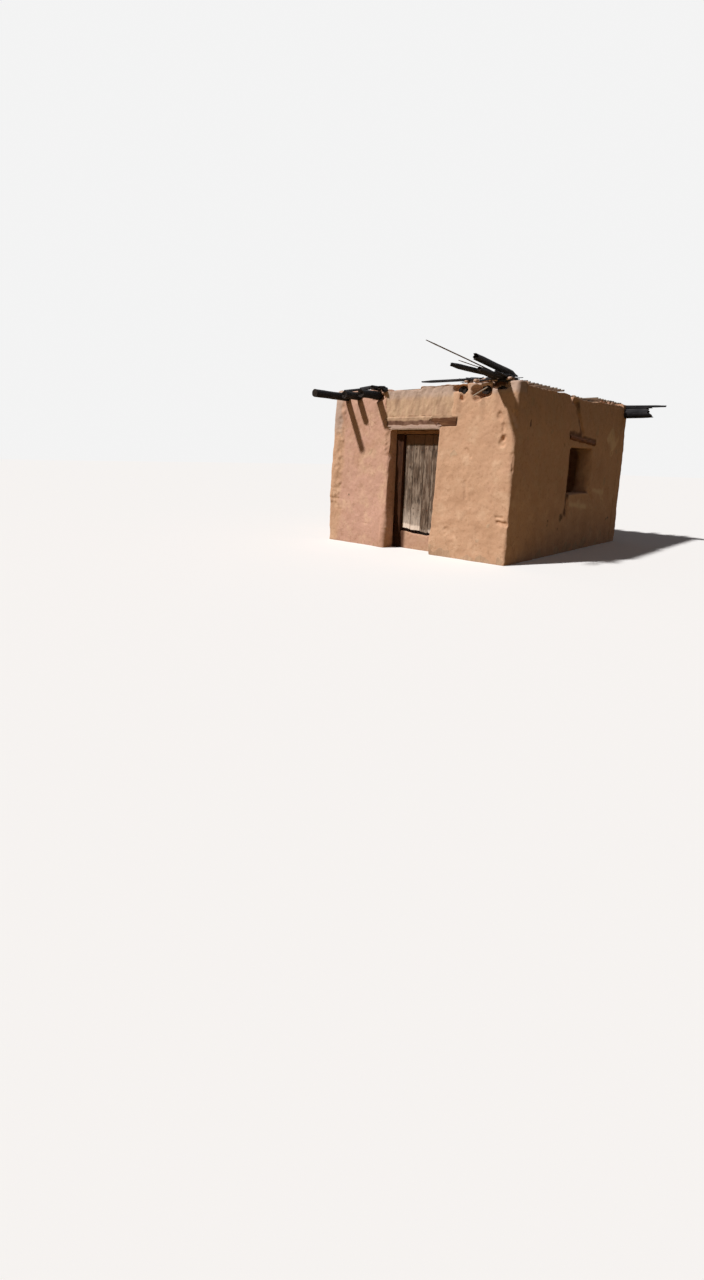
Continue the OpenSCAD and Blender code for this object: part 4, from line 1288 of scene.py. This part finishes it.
# The floor's colour to the camera, and to the light that it sends back to the house
FLOOR_SEEN, FLOOR_LIGHT = (0.93, 0.93, 0.93, 1), (0.29, 0.206, 0.092, 1)
FLOOR_HALF, FLOOR_DROP = 80.0, 0.002


def linked(name, data):
    """An object of that data in the scene."""
    made = bpy.data.objects.new(name, data)
    bpy.context.scene.collection.objects.link(made)
    return made


def studio():
    """Pale floor, pale background and one soft key lamp from the front left with a plain fill.
    The camera sees the floor and the background paler than they light the house."""
    mesh = bpy.data.meshes.new("studio_floor")
    corners = [(-1, -1), (1, -1), (1, 1), (-1, 1)]
    mesh.from_pydata([(x * FLOOR_HALF, y * FLOOR_HALF, -FLOOR_DROP) for x, y in corners], [], [(0, 1, 2, 3)])
    floor = linked("studio_floor", mesh)
    f = Finish(bpy.data.materials.new("studio_floor"))
    seen = f.add("ShaderNodeLightPath", output="Is Camera Ray")
    pale = f.add("ShaderNodeBsdfDiffuse", {}, {"Color": FLOOR_SEEN})
    dull = f.add("ShaderNodeBsdfDiffuse", {}, {"Color": FLOOR_LIGHT})
    mesh.materials.append(f.closed(f.add("ShaderNodeMixShader", {}, {0: seen, 1: dull, 2: pale})))
    floor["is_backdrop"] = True

    f = Finish(bpy.data.worlds.new("studio"), "ShaderNodeOutputWorld")
    seen, mirrored, through = (f.add("ShaderNodeLightPath", output=f"Is {kind} Ray")
                               for kind in ("Camera", "Glossy", "Transmission"))
    fill = f.add("ShaderNodeBackground", {}, {0: FILL_COLOUR, 1: FILL_STRENGTH})
    white = f.add("ShaderNodeBackground", {}, {0: BACKGROUND})
    shown = seen.or_more(mirrored.or_more(through))
    bpy.context.scene.world = f.closed(f.add("ShaderNodeMixShader", {}, {0: shown, 1: fill, 2: white}))

    key = bpy.data.lights.new("key", "SUN")
    key.energy, key.angle, key.color = KEY_STRENGTH, KEY_SPREAD, KEY_COLOUR
    travel = np.array(KEY_TRAVEL) / np.linalg.norm(KEY_TRAVEL)
    side = np.cross(travel, UP)
    side /= np.linalg.norm(side)
    turn = Matrix(np.stack([side, np.cross(side, travel), -travel], -1).tolist())
    linked("key", key).matrix_world = turn.to_4x4()


def camera():
    """The photograph's own pinhole: 580 of its pixels of focal length, at eye height, turned
    42 degrees to the left, looking down 17.5 degrees and rolled 1.6."""
    focal_px, long_side_px = 580.0, 1280.0
    where = np.array([5.88407, -10.0005, 1.47348]) + MIDDLE
    yaw, pitch, roll = (math.radians(a) for a in (42.21197, 17.52611, 1.55201))
    ahead = np.array([-math.sin(yaw), math.cos(yaw), 0.0])
    right = np.array([math.cos(yaw), math.sin(yaw), 0.0])
    look = ahead * math.cos(pitch) - UP * math.sin(pitch)
    lift = UP * math.cos(pitch) + ahead * math.sin(pitch)
    data = bpy.data.cameras.new("camera")
    data.sensor_width = 36.0
    data.lens = focal_px * data.sensor_width / long_side_px
    data.clip_end = 300.0
    turn = np.eye(4)
    turn[:3, 0] = right * math.cos(roll) + lift * math.sin(roll)
    turn[:3, 1] = lift * math.cos(roll) - right * math.sin(roll)
    turn[:3, 2], turn[:3, 3] = -look, where
    made = linked("camera", data)
    made.matrix_world = Matrix(turn.tolist())
    bpy.context.scene.camera = made


studio()
camera()
bpy.context.scene.view_settings.view_transform = "Standard"
bpy.context.view_layer.update()
low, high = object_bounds()
